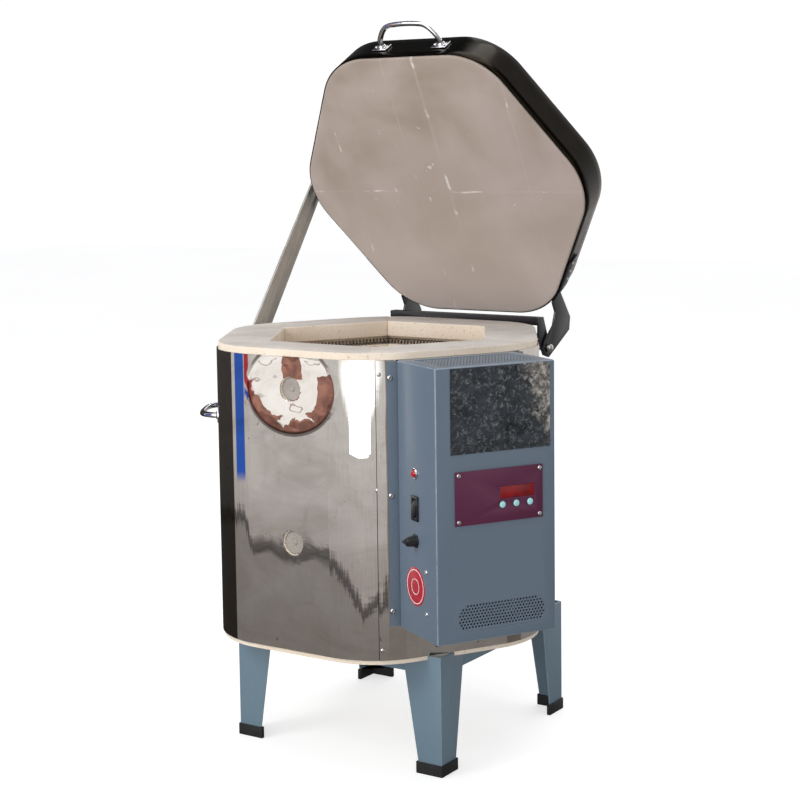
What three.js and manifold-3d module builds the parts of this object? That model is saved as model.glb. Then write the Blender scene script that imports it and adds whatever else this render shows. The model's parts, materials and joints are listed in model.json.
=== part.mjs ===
// A small hexagonal glass kiln on a four-legged stand: brick chamber, steel jacket,
// banded brick lid on a rear hinge with a support arm, and a control box on one facet.
// Millimetres, +Z up. The origin is the centre of the chamber floor (the hearth).
// The front facet faces -Y; facet k is turned 60 degrees * k about +Z from it.

import * as THREE from 'three';
import { mergeVertices } from 'three/addons/utils/BufferGeometryUtils.js';
import Module from 'manifold-3d';

const wasm = await Module();
wasm.setup();

// ---------------------------------------------------------------- driving dimensions

const GAP = 0.3;                 // clearance between pieces that touch
const DEG = Math.PI / 180;

const BRICK_APOTHEM = 219.5;     // outside of the brickwork, centre to flat
const BRICK_CORNER = 108;        // radius of its rounded corners
const CHAMBER_APOTHEM = 146;     // inside of the brickwork, centre to flat
const RIM = 345;                 // top of the brickwork: three courses of 115
const SLAB_BOTTOM = -64;         // underside of the floor slab
const REBATE = 2;                // the walls stand in a shallow rebate round the chamber floor
const CORNER_STEPS = 8;          // straight pieces in one rounded corner

const JACKET_INNER = 0.7;        // jacket faces, measured out from the brickwork
const JACKET_OUTER = 2.2;
const JACKET_TOP = 336;
const JACKET_BOTTOM = -58;

const ELEMENT_LEVELS = [30, 173, 316];
const GROOVE_HALF = 6;           // half the height of an element groove
const GROOVE_DEPTH = 12;

const PLUG_LEVELS = { upper: 293, lower: 88 };
const PLUG_X = 5;                // both peepholes sit a little right of the facet's middle
const PLUG_BORE = 16;
const PLUG_FACE = 218;           // the plug's outer face, centre to face
const PLUG_LENGTH = 58;
const BORE_NEAR = -250;          // y planes that a bore through the front wall runs between
const BORE_FAR = -120;

const LID_OPEN = 61.6;           // opening angle at rest, degrees
const LID_APOTHEM = 215;
const LID_CORNER = 95;
const LID_BOTTOM = RIM + 3;
const LID_TOP = LID_BOTTOM + 58;
const BAND_INNER = 0.5;
const BAND_OUTER = 1.7;

const HINGE_Y = 246;
const HINGE_Z = RIM - 40;
const HINGE_EAR_X = 128;         // inner face of a fixed ear
const HINGE_ARM_X = 132;         // inner face of a lid arm
const HINGE_PLATE = 3;
const HINGE_ROD = 4;             // radius
const HINGE_ROD_HALF = 140;
const ROD_HOLE = HINGE_ROD + 0.5;

const ARM_X = -245;              // middle plane of the support arm
const ARM_THICK = 3;
const ARM_SLOPE = 54.1;          // slope of the arm with the lid open, degrees
const ARM_PIVOT_Y = 8;           // pivot on the closed lid
const ARM_PIVOT_Z = RIM + 32;
const ARM_TOP_WIDTH = 30;
const ARM_END_WIDTH = 40;
const ARM_PAST_KEEPER = 34;
const KEEPER_HALF = 13;

const BOX_HALF = 86.5;           // half the width of the control box
const BOX_BACK = 224.4;          // centre of the kiln to the box's open back
const BOX_FRONT = 325.3;
const BOX_TOP = 336;
const BOX_BOTTOM = -14;
const SHEET = 1.5;

const STAND_X = 20;              // centre of the stand
const STAND_Y = 18;
const STAND_HALF = 168;
const LEG_TOP = JACKET_BOTTOM - 0.5;
const FLOOR = -220;
const LEG_SHEET = 2.5;
const LEG_TOP_WIDTH = 60;
const LEG_END_WIDTH = 35;
const RAIL_LEDGE = 24;

// ---------------------------------------------------------------- materials

const surface = (color, roughness, metalness) =>
  new THREE.MeshStandardMaterial({ color, roughness, metalness });

const BRICK = surface(0xe3d8c4, 0.95, 0);
const LID_BRICK = surface(0xaa9b91, 0.95, 0);
const STAINLESS = surface(0xa8a8a6, 0.18, 1);
const DARK_STEEL = surface(0x17130f, 0.25, 0.8);
const CHROME = surface(0xd8d8d8, 0.08, 1);
const BRUSHED = surface(0x7d7d76, 0.4, 1);
const BLUE_GREY = surface(0x67788a, 0.45, 0.1);
const BLACK_PAINT = surface(0x1d1f22, 0.5, 0.2);
const BLACK_RUBBER = surface(0x101010, 0.85, 0);
const BLACK_PLASTIC = surface(0x161616, 0.5, 0);
const MAROON = surface(0x5f2346, 0.4, 0);
const RED_LENS = surface(0x96000a, 0.15, 0);
const CYAN = surface(0xaae6e6, 0.4, 0);
const LABEL = surface(0x32343a, 0.35, 0.4);
const CERAMIC = surface(0xc9bfb0, 0.8, 0);
const ELEMENT = surface(0x6d6156, 0.6, 0.6);
const BOARD = surface(0x1e5a36, 0.6, 0);

// ---------------------------------------------------------------- helpers

// The outline of a hexagon with rounded corners, starting at the front facet's right end.
function hexOutline(apothem, radius) {
  const reach = (apothem - radius) / Math.cos(30 * DEG);
  const points = [];
  for (let corner = 0; corner < 6; corner += 1) {
    const heading = (60 * corner - 60) * DEG;
    const centre = new THREE.Vector2(Math.cos(heading), Math.sin(heading)).multiplyScalar(reach);
    for (let step = 0; step <= CORNER_STEPS; step += 1) {
      const turn = heading + (60 * step / CORNER_STEPS - 30) * DEG;
      const spoke = new THREE.Vector2(Math.cos(turn), Math.sin(turn)).multiplyScalar(radius);
      points.push(spoke.add(centre));
    }
  }
  return points;
}

// The brickwork's outline moved outward by `offset`.
const bodyOutline = (offset) => hexOutline(BRICK_APOTHEM + offset, BRICK_CORNER + offset);
const lidOutline = (offset) => hexOutline(LID_APOTHEM + offset, LID_CORNER + offset);
const sharpHexagon = (apothem) => hexOutline(apothem, 0.5);

const toPoints = (pairs) => pairs.map(([x, y]) => new THREE.Vector2(x, y));

// An upright prism over a plan outline.
function prism(points, bottom, top) {
  const geometry = new THREE.ExtrudeGeometry(new THREE.Shape(points), {
    depth: top - bottom,
    bevelEnabled: false,
  });
  return geometry.translate(0, 0, bottom);
}

// A plate whose outline is given as (y, z) pairs, between two x planes.
function sidePlate(pairs, left, right) {
  const geometry = new THREE.ExtrudeGeometry(new THREE.Shape(toPoints(pairs)), {
    depth: right - left,
    bevelEnabled: false,
  });
  return geometry.rotateX(90 * DEG).rotateZ(90 * DEG).translate(left, 0, 0);
}

function block(x0, x1, y0, y1, z0, z1) {
  const geometry = new THREE.BoxGeometry(x1 - x0, y1 - y0, z1 - z0);
  return geometry.translate((x0 + x1) / 2, (y0 + y1) / 2, (z0 + z1) / 2);
}

// Cylinders along X and along Y, between two planes.
function rodX(x0, x1, y, z, radius, sides = 24) {
  const geometry = new THREE.CylinderGeometry(radius, radius, x1 - x0, sides);
  return geometry.rotateZ(90 * DEG).translate((x0 + x1) / 2, y, z);
}

function rodY(x, y0, y1, z, radius, sides = 24) {
  return new THREE.CylinderGeometry(radius, radius, y1 - y0, sides).translate(x, (y0 + y1) / 2, z);
}

function rodZ(x, y, z0, z1, radius, sides = 24) {
  const geometry = new THREE.CylinderGeometry(radius, radius, z1 - z0, sides);
  return geometry.rotateX(90 * DEG).translate(x, y, (z0 + z1) / 2);
}

// Booleans: geometry to manifold and back.
function solid(geometry) {
  const bare = geometry.clone();
  bare.deleteAttribute('normal');
  bare.deleteAttribute('uv');
  const merged = mergeVertices(bare, 1e-4);
  return new wasm.Manifold(new wasm.Mesh({
    numProp: 3,
    vertProperties: new Float32Array(merged.attributes.position.array),
    triVerts: new Uint32Array(merged.index.array),
  }));
}

function fromSolid(manifold) {
  const mesh = manifold.getMesh();
  const geometry = new THREE.BufferGeometry();
  geometry.setAttribute('position', new THREE.BufferAttribute(mesh.vertProperties, 3));
  geometry.setIndex(new THREE.BufferAttribute(mesh.triVerts, 1));
  geometry.computeVertexNormals();
  return geometry;
}

const join = (...parts) => fromSolid(parts.map(solid).reduce((sum, part) => sum.add(part)));
const cut = (base, ...tools) =>
  fromSolid(tools.map(solid).reduce((rest, tool) => rest.subtract(tool), solid(base)));
const common = (a, b) => fromSolid(solid(a).intersect(solid(b)));

function piece(name, geometry, material) {
  const mesh = new THREE.Mesh(geometry, material);
  mesh.name = name;
  return mesh;
}

// A group turned so that what is built facing -Y faces out from facet `index`.
function facet(index, ...children) {
  const group = new THREE.Group();
  group.rotation.z = 60 * index * DEG;
  group.add(...children);
  return group;
}

// ---------------------------------------------------------------- brickwork

// One wall of the chamber, mitred at both ends, built as the front wall.
function wallGeometry() {
  const reach = (BRICK_APOTHEM - BRICK_CORNER) / Math.cos(30 * DEG);
  const mitre = GAP / 2;
  const innerHalf = CHAMBER_APOTHEM * Math.tan(30 * DEG) - mitre / Math.cos(30 * DEG);
  const lastTurn = 30 - Math.asin(mitre / BRICK_CORNER) / DEG;
  const half = [];
  for (let step = 0; step <= CORNER_STEPS / 2; step += 1) {
    const turn = lastTurn * step / (CORNER_STEPS / 2) * DEG;
    half.push([reach * Math.sin(30 * DEG) + BRICK_CORNER * Math.sin(turn),
      -reach * Math.cos(30 * DEG) - BRICK_CORNER * Math.cos(turn)]);
  }
  const mirrored = half.map(([x, y]) => [-x, y]).reverse();
  const outline = [[-innerHalf, -CHAMBER_APOTHEM], ...mirrored, ...half, [innerHalf, -CHAMBER_APOTHEM]];
  const grooves = ELEMENT_LEVELS.map((level) => block(-120, 120, -CHAMBER_APOTHEM - GROOVE_DEPTH,
    -CHAMBER_APOTHEM + 10, level - GROOVE_HALF, level + GROOVE_HALF));
  return cut(prism(toPoints(outline), GAP - REBATE, RIM), ...grooves);
}

const peepholeBores = (radius) =>
  Object.values(PLUG_LEVELS).map((level) => rodY(PLUG_X, BORE_NEAR, BORE_FAR, level, radius));

const THERMOCOUPLE_U = 40;       // along the front-right facet
const THERMOCOUPLE_Z = 250;
const thermocoupleBore = (radius) =>
  rodY(THERMOCOUPLE_U, BORE_NEAR, BORE_FAR, THERMOCOUPLE_Z, radius, 16);

function buildBrickwork() {
  const group = new THREE.Group();
  const slab = join(prism(bodyOutline(0), SLAB_BOTTOM, -REBATE),
    prism(sharpHexagon(CHAMBER_APOTHEM - GAP), -REBATE, 0));
  group.add(piece('floor_slab', slab, BRICK));
  const names = ['front', 'front_right', 'back_right', 'back', 'back_left', 'front_left'];
  names.forEach((name, index) => {
    let geometry = wallGeometry();
    if (name === 'front') geometry = cut(geometry, ...peepholeBores(PLUG_BORE));
    if (name === 'front_right') geometry = cut(geometry, thermocoupleBore(4));
    group.add(facet(index, piece(`wall_${name}`, geometry, BRICK)));
  });
  return group;
}

// Each heating element is a hexagonal ring lying in the groove of one level.
function buildElements() {
  const group = new THREE.Group();
  ELEMENT_LEVELS.forEach((level, index) => {
    const bottom = level - GROOVE_HALF + GAP;
    const ring = cut(prism(sharpHexagon(CHAMBER_APOTHEM + 11), bottom, bottom + 9),
      prism(sharpHexagon(CHAMBER_APOTHEM + 2), bottom - 1, bottom + 10));
    group.add(piece(`heating_element_${index + 1}`, ring, ELEMENT));
  });
  return group;
}

// A ceramic plug for a peephole, narrower at its inner end.
function plugGeometry(level) {
  const radius = PLUG_BORE - 0.7;
  const profile = [[0, 0], [radius - 2.8, 0], [radius, PLUG_LENGTH - 4],
    [radius, PLUG_LENGTH], [0, PLUG_LENGTH]];
  const geometry = new THREE.LatheGeometry(toPoints(profile), 32);
  return geometry.rotateX(180 * DEG).translate(PLUG_X, -PLUG_FACE + PLUG_LENGTH, level);
}

// ---------------------------------------------------------------- jacket

function buildJacket() {
  const shell = cut(prism(bodyOutline(JACKET_OUTER), JACKET_BOTTOM, JACKET_TOP),
    prism(bodyOutline(JACKET_INNER), JACKET_BOTTOM - 1, JACKET_TOP + 1),
    ...peepholeBores(PLUG_BORE + 0.5),
    thermocoupleBore(5).rotateZ(60 * DEG));
  return piece('outer_jacket', shell, STAINLESS);
}

// ---------------------------------------------------------------- handles

const PAD_HALF = 12;
const PAD_THICK = 2.5;

// A bow handle standing on two pads, built on a face at y = -distance.
function handleGeometry(distance, z, halfSpan, height) {
  const face = -distance - GAP;
  const path = new THREE.CatmullRomCurve3([
    new THREE.Vector3(-halfSpan, face - 1, z),
    new THREE.Vector3(-halfSpan + 1, face - height * 0.35, z),
    new THREE.Vector3(-halfSpan * 0.72, face - height * 0.85, z),
    new THREE.Vector3(-halfSpan * 0.35, face - height, z),
    new THREE.Vector3(halfSpan * 0.35, face - height, z),
    new THREE.Vector3(halfSpan * 0.72, face - height * 0.85, z),
    new THREE.Vector3(halfSpan - 1, face - height * 0.35, z),
    new THREE.Vector3(halfSpan, face - 1, z),
  ]);
  const section = new THREE.Shape();
  section.absellipse(0, 0, 3.2, 4.2, 0, Math.PI * 2);
  const bow = new THREE.ExtrudeGeometry(section, { steps: 28, extrudePath: path, curveSegments: 5 });
  const pad = (side) => block(side * halfSpan - PAD_HALF, side * halfSpan + PAD_HALF,
    face - PAD_THICK, face, z - 9, z + 9);
  return join(bow, pad(-1), pad(1));
}

// ---------------------------------------------------------------- hinge

function buildHingeBase() {
  const earOutline = [[225, RIM + 7], [240, RIM + 7], [257, HINGE_Z + 8], [257, HINGE_Z - 5],
    [251, HINGE_Z - 11], [241, HINGE_Z - 11], [225, HINGE_Z + 14]];
  const ear = (side) => sidePlate(earOutline, side * (HINGE_EAR_X + HINGE_PLATE / 2) - HINGE_PLATE / 2,
    side * (HINGE_EAR_X + HINGE_PLATE / 2) + HINGE_PLATE / 2);
  const bar = block(-HINGE_EAR_X - 1, HINGE_EAR_X + 1, 226, 240, RIM - 5, RIM + 7);
  const backPlate = block(-62, 62, 222, 226.5, HINGE_Z - 40, RIM - 5);
  const rib = block(-62, 62, 222, 227, RIM - 12, RIM - 4);
  const base = cut(join(ear(-1), ear(1), bar, backPlate, rib),
    rodX(-145, 145, HINGE_Y, HINGE_Z, ROD_HOLE));
  return piece('hinge_base', base, BLACK_PAINT);
}

// A lid arm: a side plate down to the rod, and a strap bent round the lid's corner.
function lidArmGeometry(side) {
  const plateOutline = [[195, RIM + 6], [195, RIM + 34], [244, RIM + 42], [260, RIM + 30],
    [260, HINGE_Z - 4], [252, HINGE_Z - 12], [240, HINGE_Z - 12], [232, HINGE_Z - 2],
    [226, RIM - 10], [212, RIM + 6]];
  const plate = sidePlate(plateOutline, HINGE_ARM_X, HINGE_ARM_X + HINGE_PLATE);
  const outside = prism(lidOutline(BAND_OUTER + GAP + 2.5), RIM + 8, RIM + 36);
  const inside = prism(lidOutline(BAND_OUTER + GAP), RIM, RIM + 50);
  const window = block(HINGE_ARM_X, 185, 128, 206, RIM, RIM + 50);
  const strap = common(cut(outside, inside), window);
  const arm = cut(join(plate, strap), rodX(100, 150, HINGE_Y, HINGE_Z, ROD_HOLE));
  return side > 0 ? arm : fromSolid(solid(arm).mirror([1, 0, 0]));
}

// ---------------------------------------------------------------- lid

// Centre to the outside of the lid band at its side corners.
const LID_VERTEX = (LID_APOTHEM - LID_CORNER) / Math.cos(30 * DEG) + LID_CORNER + BAND_OUTER;

function buildLid() {
  const slab = prism(lidOutline(0), LID_BOTTOM, LID_TOP);
  const lipTop = LID_TOP + 1.5;
  const ring = cut(prism(lidOutline(BAND_OUTER), LID_BOTTOM + 2.5, lipTop),
    prism(lidOutline(BAND_INNER), LID_BOTTOM, LID_TOP + GAP),
    prism(lidOutline(-9), LID_BOTTOM, LID_TOP + 5));
  const pivot = join(
    rodX(ARM_X + ARM_THICK / 2 + 0.4, -LID_VERTEX - 0.4, ARM_PIVOT_Y, ARM_PIVOT_Z, 8),
    rodX(ARM_X - 4, -LID_VERTEX - 0.4, ARM_PIVOT_Y, ARM_PIVOT_Z, 5),
    rodX(ARM_X - 7, ARM_X - ARM_THICK / 2 - 0.4, ARM_PIVOT_Y, ARM_PIVOT_Z, 8, 6));
  const lid = new THREE.Group();
  lid.add(
    piece('lid_slab', slab, LID_BRICK),
    piece('lid_band', ring, DARK_STEEL),
    piece('lid_handle', handleGeometry(LID_APOTHEM + BAND_OUTER, LID_BOTTOM + 30, 50, 36), CHROME),
    piece('hinge_arm_right', lidArmGeometry(1), BLACK_PAINT),
    piece('hinge_arm_left', lidArmGeometry(-1), BLACK_PAINT),
    piece('arm_pivot_bolt', pivot, STAINLESS),
  );
  lid.position.set(0, -HINGE_Y, -HINGE_Z);
  const hinged = new THREE.Group();
  hinged.add(lid);
  hinged.rotation.x = -LID_OPEN * DEG;
  hinged.position.set(0, HINGE_Y, HINGE_Z);
  return hinged;
}

// ---------------------------------------------------------------- support arm

// The arm's pivot with the lid open, and the keeper, which is as far from the hinge.
const openTurn = new THREE.Vector2(ARM_PIVOT_Y - HINGE_Y, ARM_PIVOT_Z - HINGE_Z)
  .rotateAround(new THREE.Vector2(), -LID_OPEN * DEG);
const armHeading = new THREE.Vector2(Math.cos(ARM_SLOPE * DEG), Math.sin(ARM_SLOPE * DEG));
const ARM_SPAN = 2 * openTurn.dot(armHeading);
const pivotOpen = openTurn.clone().add(new THREE.Vector2(HINGE_Y, HINGE_Z));
const keeperPlace = pivotOpen.clone().addScaledVector(armHeading, -ARM_SPAN);

// Built hanging straight down from the pivot, then turned to the arm's slope.
function slopedGroup(place, ...children) {
  const group = new THREE.Group();
  group.add(...children);
  group.rotation.x = (ARM_SLOPE - 90) * DEG;
  group.position.set(0, place.x, place.y);
  return group;
}

function buildSupportArm() {
  const end = ARM_SPAN + ARM_PAST_KEEPER;
  const bar = sidePlate([[-ARM_TOP_WIDTH / 2, 4], [-9, 14], [9, 14], [ARM_TOP_WIDTH / 2, 4],
    [ARM_END_WIDTH / 2, -end + 10], [ARM_END_WIDTH / 2 - 8, -end],
    [-ARM_END_WIDTH / 2 + 8, -end], [-ARM_END_WIDTH / 2, -end + 10]],
  ARM_X - ARM_THICK / 2, ARM_X + ARM_THICK / 2);
  const stopZ = -ARM_SPAN - KEEPER_HALF - 8;
  const arm = cut(bar, rodX(ARM_X - 5, ARM_X + 5, 0, 0, 5.5),
    rodX(ARM_X - 5, ARM_X + 5, 0, stopZ, 3.4));
  const stop = join(rodX(ARM_X - 4, ARM_X + 3.2, 0, stopZ, 3),
    rodX(ARM_X - 5.5, ARM_X - ARM_THICK / 2 - GAP, 0, stopZ, 6, 6));
  return slopedGroup(pivotOpen,
    piece('support_arm', arm, BRUSHED),
    piece('arm_stop_bolt', stop, STAINLESS));
}

function buildKeeper() {
  const base = block(ARM_X + 2, ARM_X + 4.2, -26, 26, -KEEPER_HALF, KEEPER_HALF);
  const cheek = (side) => block(ARM_X - 5, ARM_X + 3, side * 23.5 - 2.5, side * 23.5 + 2.5,
    -KEEPER_HALF, KEEPER_HALF);
  const lip = (side) => block(ARM_X - 5, ARM_X - 2.5, side * 20 - 4, side * 20 + 4,
    -KEEPER_HALF, KEEPER_HALF);
  const keeper = cut(join(base, cheek(-1), cheek(1), lip(-1), lip(1)),
    rodX(ARM_X, ARM_X + 10, 0, 0, 6.5));
  const rivet = rodX(ARM_X + 2.2, ARM_X + 5.7, 0, 0, 6);
  return slopedGroup(keeperPlace,
    piece('arm_keeper', keeper, STAINLESS),
    piece('keeper_rivet', rivet, STAINLESS));
}

// ---------------------------------------------------------------- control box

const PLATE = { left: -60, right: 66, bottom: 136, top: 204 };
const DISPLAY = { left: 4, right: 53, bottom: 165.5, top: 180.5 };
const BUTTONS = [7.5, 27.5, 47.5];
const BUTTON_Z = 157.5;
const BUTTON_RADIUS = 4.4;
const LAMP = { y: -270, z: 197 };
const SWITCH = { y: -270, z: 152 };
const ROCKER_PIVOT_X = -84;
const ROCKER_WIDTH = 9.6;
const ROCKER_TILT = 12;          // degrees each side of level
const FUSE = { y: -270, z: 110 };
const VENT = { x: 7, z: 17, halfWidth: 64, radius: 17 };
const GLAND = { x: 40, y: -270 };

// A rounded slot in the X-Z plane, between two y planes.
function ovalPlate({ x, z, halfWidth, radius }, y0, y1) {
  const shape = new THREE.Shape();
  const straight = halfWidth - radius;
  shape.absarc(x + straight, z, radius, -90 * DEG, 90 * DEG, false);
  shape.absarc(x - straight, z, radius, 90 * DEG, 270 * DEG, false);
  const geometry = new THREE.ExtrudeGeometry(shape, {
    depth: y1 - y0,
    bevelEnabled: false,
    curveSegments: 12,
  });
  return geometry.rotateX(90 * DEG).translate(0, y1, 0);
}

function boxShell() {
  const outer = block(-BOX_HALF, BOX_HALF, -BOX_FRONT, -BOX_BACK, BOX_BOTTOM, BOX_TOP);
  const cavity = block(-BOX_HALF + SHEET, BOX_HALF - SHEET, -BOX_FRONT + SHEET, -BOX_BACK + 5,
    BOX_BOTTOM + SHEET, BOX_TOP - SHEET);
  const controllerHole = block(PLATE.left + 4, PLATE.right - 4, -BOX_FRONT - 5, -BOX_FRONT + 5,
    PLATE.bottom + 4, PLATE.top - 4);
  const topVent = block(-70, 70, -BOX_FRONT + 14, -BOX_BACK - 14, BOX_TOP - 5, BOX_TOP + 5);
  return cut(outer, cavity, controllerHole, topVent,
    ovalPlate(VENT, -BOX_FRONT - 5, -BOX_FRONT + 5),
    rodX(-100, -80, LAMP.y, LAMP.z, 5.4),
    block(-100, -80, SWITCH.y - 7, SWITCH.y + 7, SWITCH.z - 13.8, SWITCH.z + 13.8),
    rodX(-100, -80, FUSE.y, FUSE.z, 6.4),
    rodZ(GLAND.x, GLAND.y, BOX_BOTTOM - 5, BOX_BOTTOM + 5, 8.4));
}

function backPlateGeometry() {
  const sheet = cut(prism(bodyOutline(JACKET_OUTER + 1.9), BOX_BOTTOM + 2, BOX_TOP - 2),
    prism(bodyOutline(JACKET_OUTER + 0.4), BOX_BOTTOM, BOX_TOP));
  return cut(common(sheet, block(-105, 105, -260, -150, BOX_BOTTOM, BOX_TOP)), thermocoupleBore(5));
}

function buildController() {
  const front = -BOX_FRONT - GAP;
  const plate = cut(
    block(PLATE.left, PLATE.right, front - 2, front, PLATE.bottom, PLATE.top),
    block(DISPLAY.left - GAP, DISPLAY.right + GAP, front - 5, front + 5,
      DISPLAY.bottom - GAP, DISPLAY.top + GAP),
    ...BUTTONS.map((x) => rodY(x, front - 5, front + 5, BUTTON_Z, BUTTON_RADIUS + 0.4)));
  const window = block(DISPLAY.left, DISPLAY.right, front - 2.3, front + 2, DISPLAY.bottom, DISPLAY.top);
  const board = block(-48, 56, front + 6, front + 7.6, PLATE.bottom + 6, PLATE.top - 6);
  const pieces = [
    piece('controller_faceplate', plate, MAROON),
    piece('display_window', window, RED_LENS),
    piece('controller_board', board, BOARD),
  ];
  BUTTONS.forEach((x, index) => {
    const button = rodY(x, front - 3.4, front + 3, BUTTON_Z, BUTTON_RADIUS);
    pieces.push(piece(`button_${index + 1}`, button, CYAN));
  });
  return pieces;
}

// A lamp, a rocker switch and a fuse holder on the box's left side.
function buildSidePanelParts() {
  const side = -BOX_HALF - GAP;
  const lens = join(rodX(side - 5, side, LAMP.y, LAMP.z, 7), rodX(side - 2, -74, LAMP.y, LAMP.z, 5));
  const bezel = cut(
    join(block(side - 2, side, SWITCH.y - 9, SWITCH.y + 9, SWITCH.z - 16, SWITCH.z + 16),
      block(side - 1, -70, SWITCH.y - 6.7, SWITCH.y + 6.7, SWITCH.z - 13.5, SWITCH.z + 13.5)),
    block(side - 5, -72, SWITCH.y - 5.2, SWITCH.y + 5.2, SWITCH.z - 12.2, SWITCH.z + 12.2));
  const rockerProfile = toPoints([[-2.5, 10.2], [5, 10.6], [7.2, 0], [5, -10.6], [-2.5, -10.2]]);
  const rocker = new THREE.ExtrudeGeometry(new THREE.Shape(rockerProfile), {
    depth: ROCKER_WIDTH,
    bevelEnabled: false,
  });
  rocker.rotateX(90 * DEG).rotateZ(180 * DEG).rotateY(ROCKER_TILT * DEG);
  rocker.translate(ROCKER_PIVOT_X, SWITCH.y - ROCKER_WIDTH / 2, SWITCH.z);
  const holder = join(rodX(side - 2.2, side, FUSE.y, FUSE.z, 9.5, 6),
    rodX(side - 1, -58, FUSE.y, FUSE.z, 6));
  const cap = join(rodX(side - 14, side - 2.6, FUSE.y, FUSE.z, 7),
    block(side - 17, side - 13, FUSE.y - 1.6, FUSE.y + 1.6, FUSE.z - 6, FUSE.z + 6));
  return [
    piece('pilot_lamp', lens, RED_LENS),
    piece('switch_bezel', bezel, BLACK_PLASTIC),
    piece('switch_rocker', rocker, BLACK_PLASTIC),
    piece('fuse_holder', holder, BLACK_PLASTIC),
    piece('fuse_cap', cap, BLACK_PLASTIC),
  ];
}

// What the cover hides: supply, relay, terminals, the thermocouple's head and the cord's gland.
function buildBoxInside() {
  const inner = -BOX_BACK - 1;
  const core = block(-58, -10, -300, -256, 40, 100);
  const coil = block(-50, -18, -308, -248, 48, 92);
  const feet = block(-64, -4, -262, inner, 36, 42);
  const head = block(THERMOCOUPLE_U - 13, THERMOCOUPLE_U + 13, inner - 14, inner,
    THERMOCOUPLE_Z - 12, THERMOCOUPLE_Z + 12);
  const probe = rodY(THERMOCOUPLE_U, inner - 1, -CHAMBER_APOTHEM + 22, THERMOCOUPLE_Z, 3, 16);
  const gland = join(rodZ(GLAND.x, GLAND.y, BOX_BOTTOM - 14, BOX_BOTTOM - GAP, 11, 6),
    rodZ(GLAND.x, GLAND.y, BOX_BOTTOM - 5, BOX_BOTTOM + 9, 8));
  return [
    piece('transformer', join(core, coil, feet), DARK_STEEL),
    piece('power_relay', block(14, 58, -276, inner, 40, 92), BLACK_PLASTIC),
    piece('terminal_block', block(-60, 20, -246, inner, 124, 142), BLACK_PLASTIC),
    piece('thermocouple', join(head, probe), CERAMIC),
    piece('cord_gland', gland, BLACK_PLASTIC),
  ];
}

function buildControlBox() {
  const frontScreen = ovalPlate({ ...VENT, halfWidth: VENT.halfWidth + 4, radius: VENT.radius + 4 },
    -BOX_FRONT + SHEET + GAP, -BOX_FRONT + SHEET + GAP + 1);
  const under = BOX_TOP - SHEET - GAP;
  const topScreen = block(-75, 75, -BOX_FRONT + 9, -BOX_BACK - 9, under - 1, under);
  const label = block(-65.5, 78.5, -BOX_FRONT - 0.9, -BOX_FRONT - GAP, 226, 334);
  return facet(1,
    piece('box_cover', boxShell(), BLUE_GREY),
    piece('box_back_plate', backPlateGeometry(), BLUE_GREY),
    piece('front_vent_screen', frontScreen, BLUE_GREY),
    piece('top_vent_screen', topScreen, BLUE_GREY),
    piece('blank_nameplate', label, LABEL),
    ...buildController(), ...buildSidePanelParts(), ...buildBoxInside());
}

// ---------------------------------------------------------------- stand

// An angle leg with its outer corner at (0, 0), its flanges running along +X and +Y.
function legGeometry() {
  const flange = (outline) => new THREE.ExtrudeGeometry(new THREE.Shape(toPoints(outline)),
    { depth: LEG_SHEET, bevelEnabled: false });
  const foot = FLOOR + 3;
  const outline = [[0, foot], [LEG_END_WIDTH, foot], [LEG_TOP_WIDTH, LEG_TOP], [0, LEG_TOP]];
  const front = flange(outline).rotateX(90 * DEG).translate(0, LEG_SHEET, 0);
  const side = flange(outline).rotateX(90 * DEG).rotateZ(90 * DEG);
  return join(front, side);
}

// A rubber boot round the leg's lower end.
function bootGeometry() {
  const angle = (from, to, reach) => toPoints([[from, from], [reach, from], [reach, to],
    [to, to], [to, reach], [from, reach]]);
  return cut(prism(angle(-1.6, LEG_SHEET + 1.6, LEG_END_WIDTH + 4.3), FLOOR, FLOOR + 16),
    prism(angle(-GAP, LEG_SHEET + GAP, LEG_END_WIDTH + 2.9), FLOOR + 3 - GAP, FLOOR + 30));
}

// Mirrors a corner piece into the corner of the stand given by two signs.
function intoCorner(geometry, signX, signY) {
  let part = solid(geometry);
  if (signX > 0) part = part.mirror([1, 0, 0]);
  if (signY > 0) part = part.mirror([0, 1, 0]);
  return fromSolid(part).translate(STAND_X + signX * STAND_HALF, STAND_Y + signY * STAND_HALF, 0);
}

function railGeometry(halfLength) {
  const outside = STAND_HALF - LEG_SHEET - GAP;
  const top = SLAB_BOTTOM - GAP;
  return join(block(-halfLength, halfLength, -outside, -outside + 2, top - 20, top),
    block(-halfLength, halfLength, -outside, -outside + RAIL_LEDGE, top - 2, top));
}

function buildStand() {
  const stand = new THREE.Group();
  const slabRoom = prism(bodyOutline(0.6), SLAB_BOTTOM - 0.4, 0);    // the legs stop short of the slab
  const corners = {
    front_left: [-1, -1], front_right: [1, -1], back_right: [1, 1], back_left: [-1, 1],
  };
  Object.entries(corners).forEach(([name, [signX, signY]]) => {
    const leg = cut(intoCorner(legGeometry(), signX, signY), slabRoom);
    const boot = intoCorner(bootGeometry(), signX, signY);
    stand.add(piece(`leg_${name}`, leg, BLUE_GREY), piece(`boot_${name}`, boot, BLACK_RUBBER));
  });
  const outside = STAND_HALF - LEG_SHEET - GAP;
  ['front', 'right', 'back', 'left'].forEach((name, index) => {
    const halfLength = index % 2 === 0 ? outside : outside - RAIL_LEDGE - GAP;
    const rail = railGeometry(halfLength).rotateZ(90 * index * DEG).translate(STAND_X, STAND_Y, 0);
    stand.add(piece(`stand_rail_${name}`, rail, BLUE_GREY));
  });
  return stand;
}

// ---------------------------------------------------------------- the kiln

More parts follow.
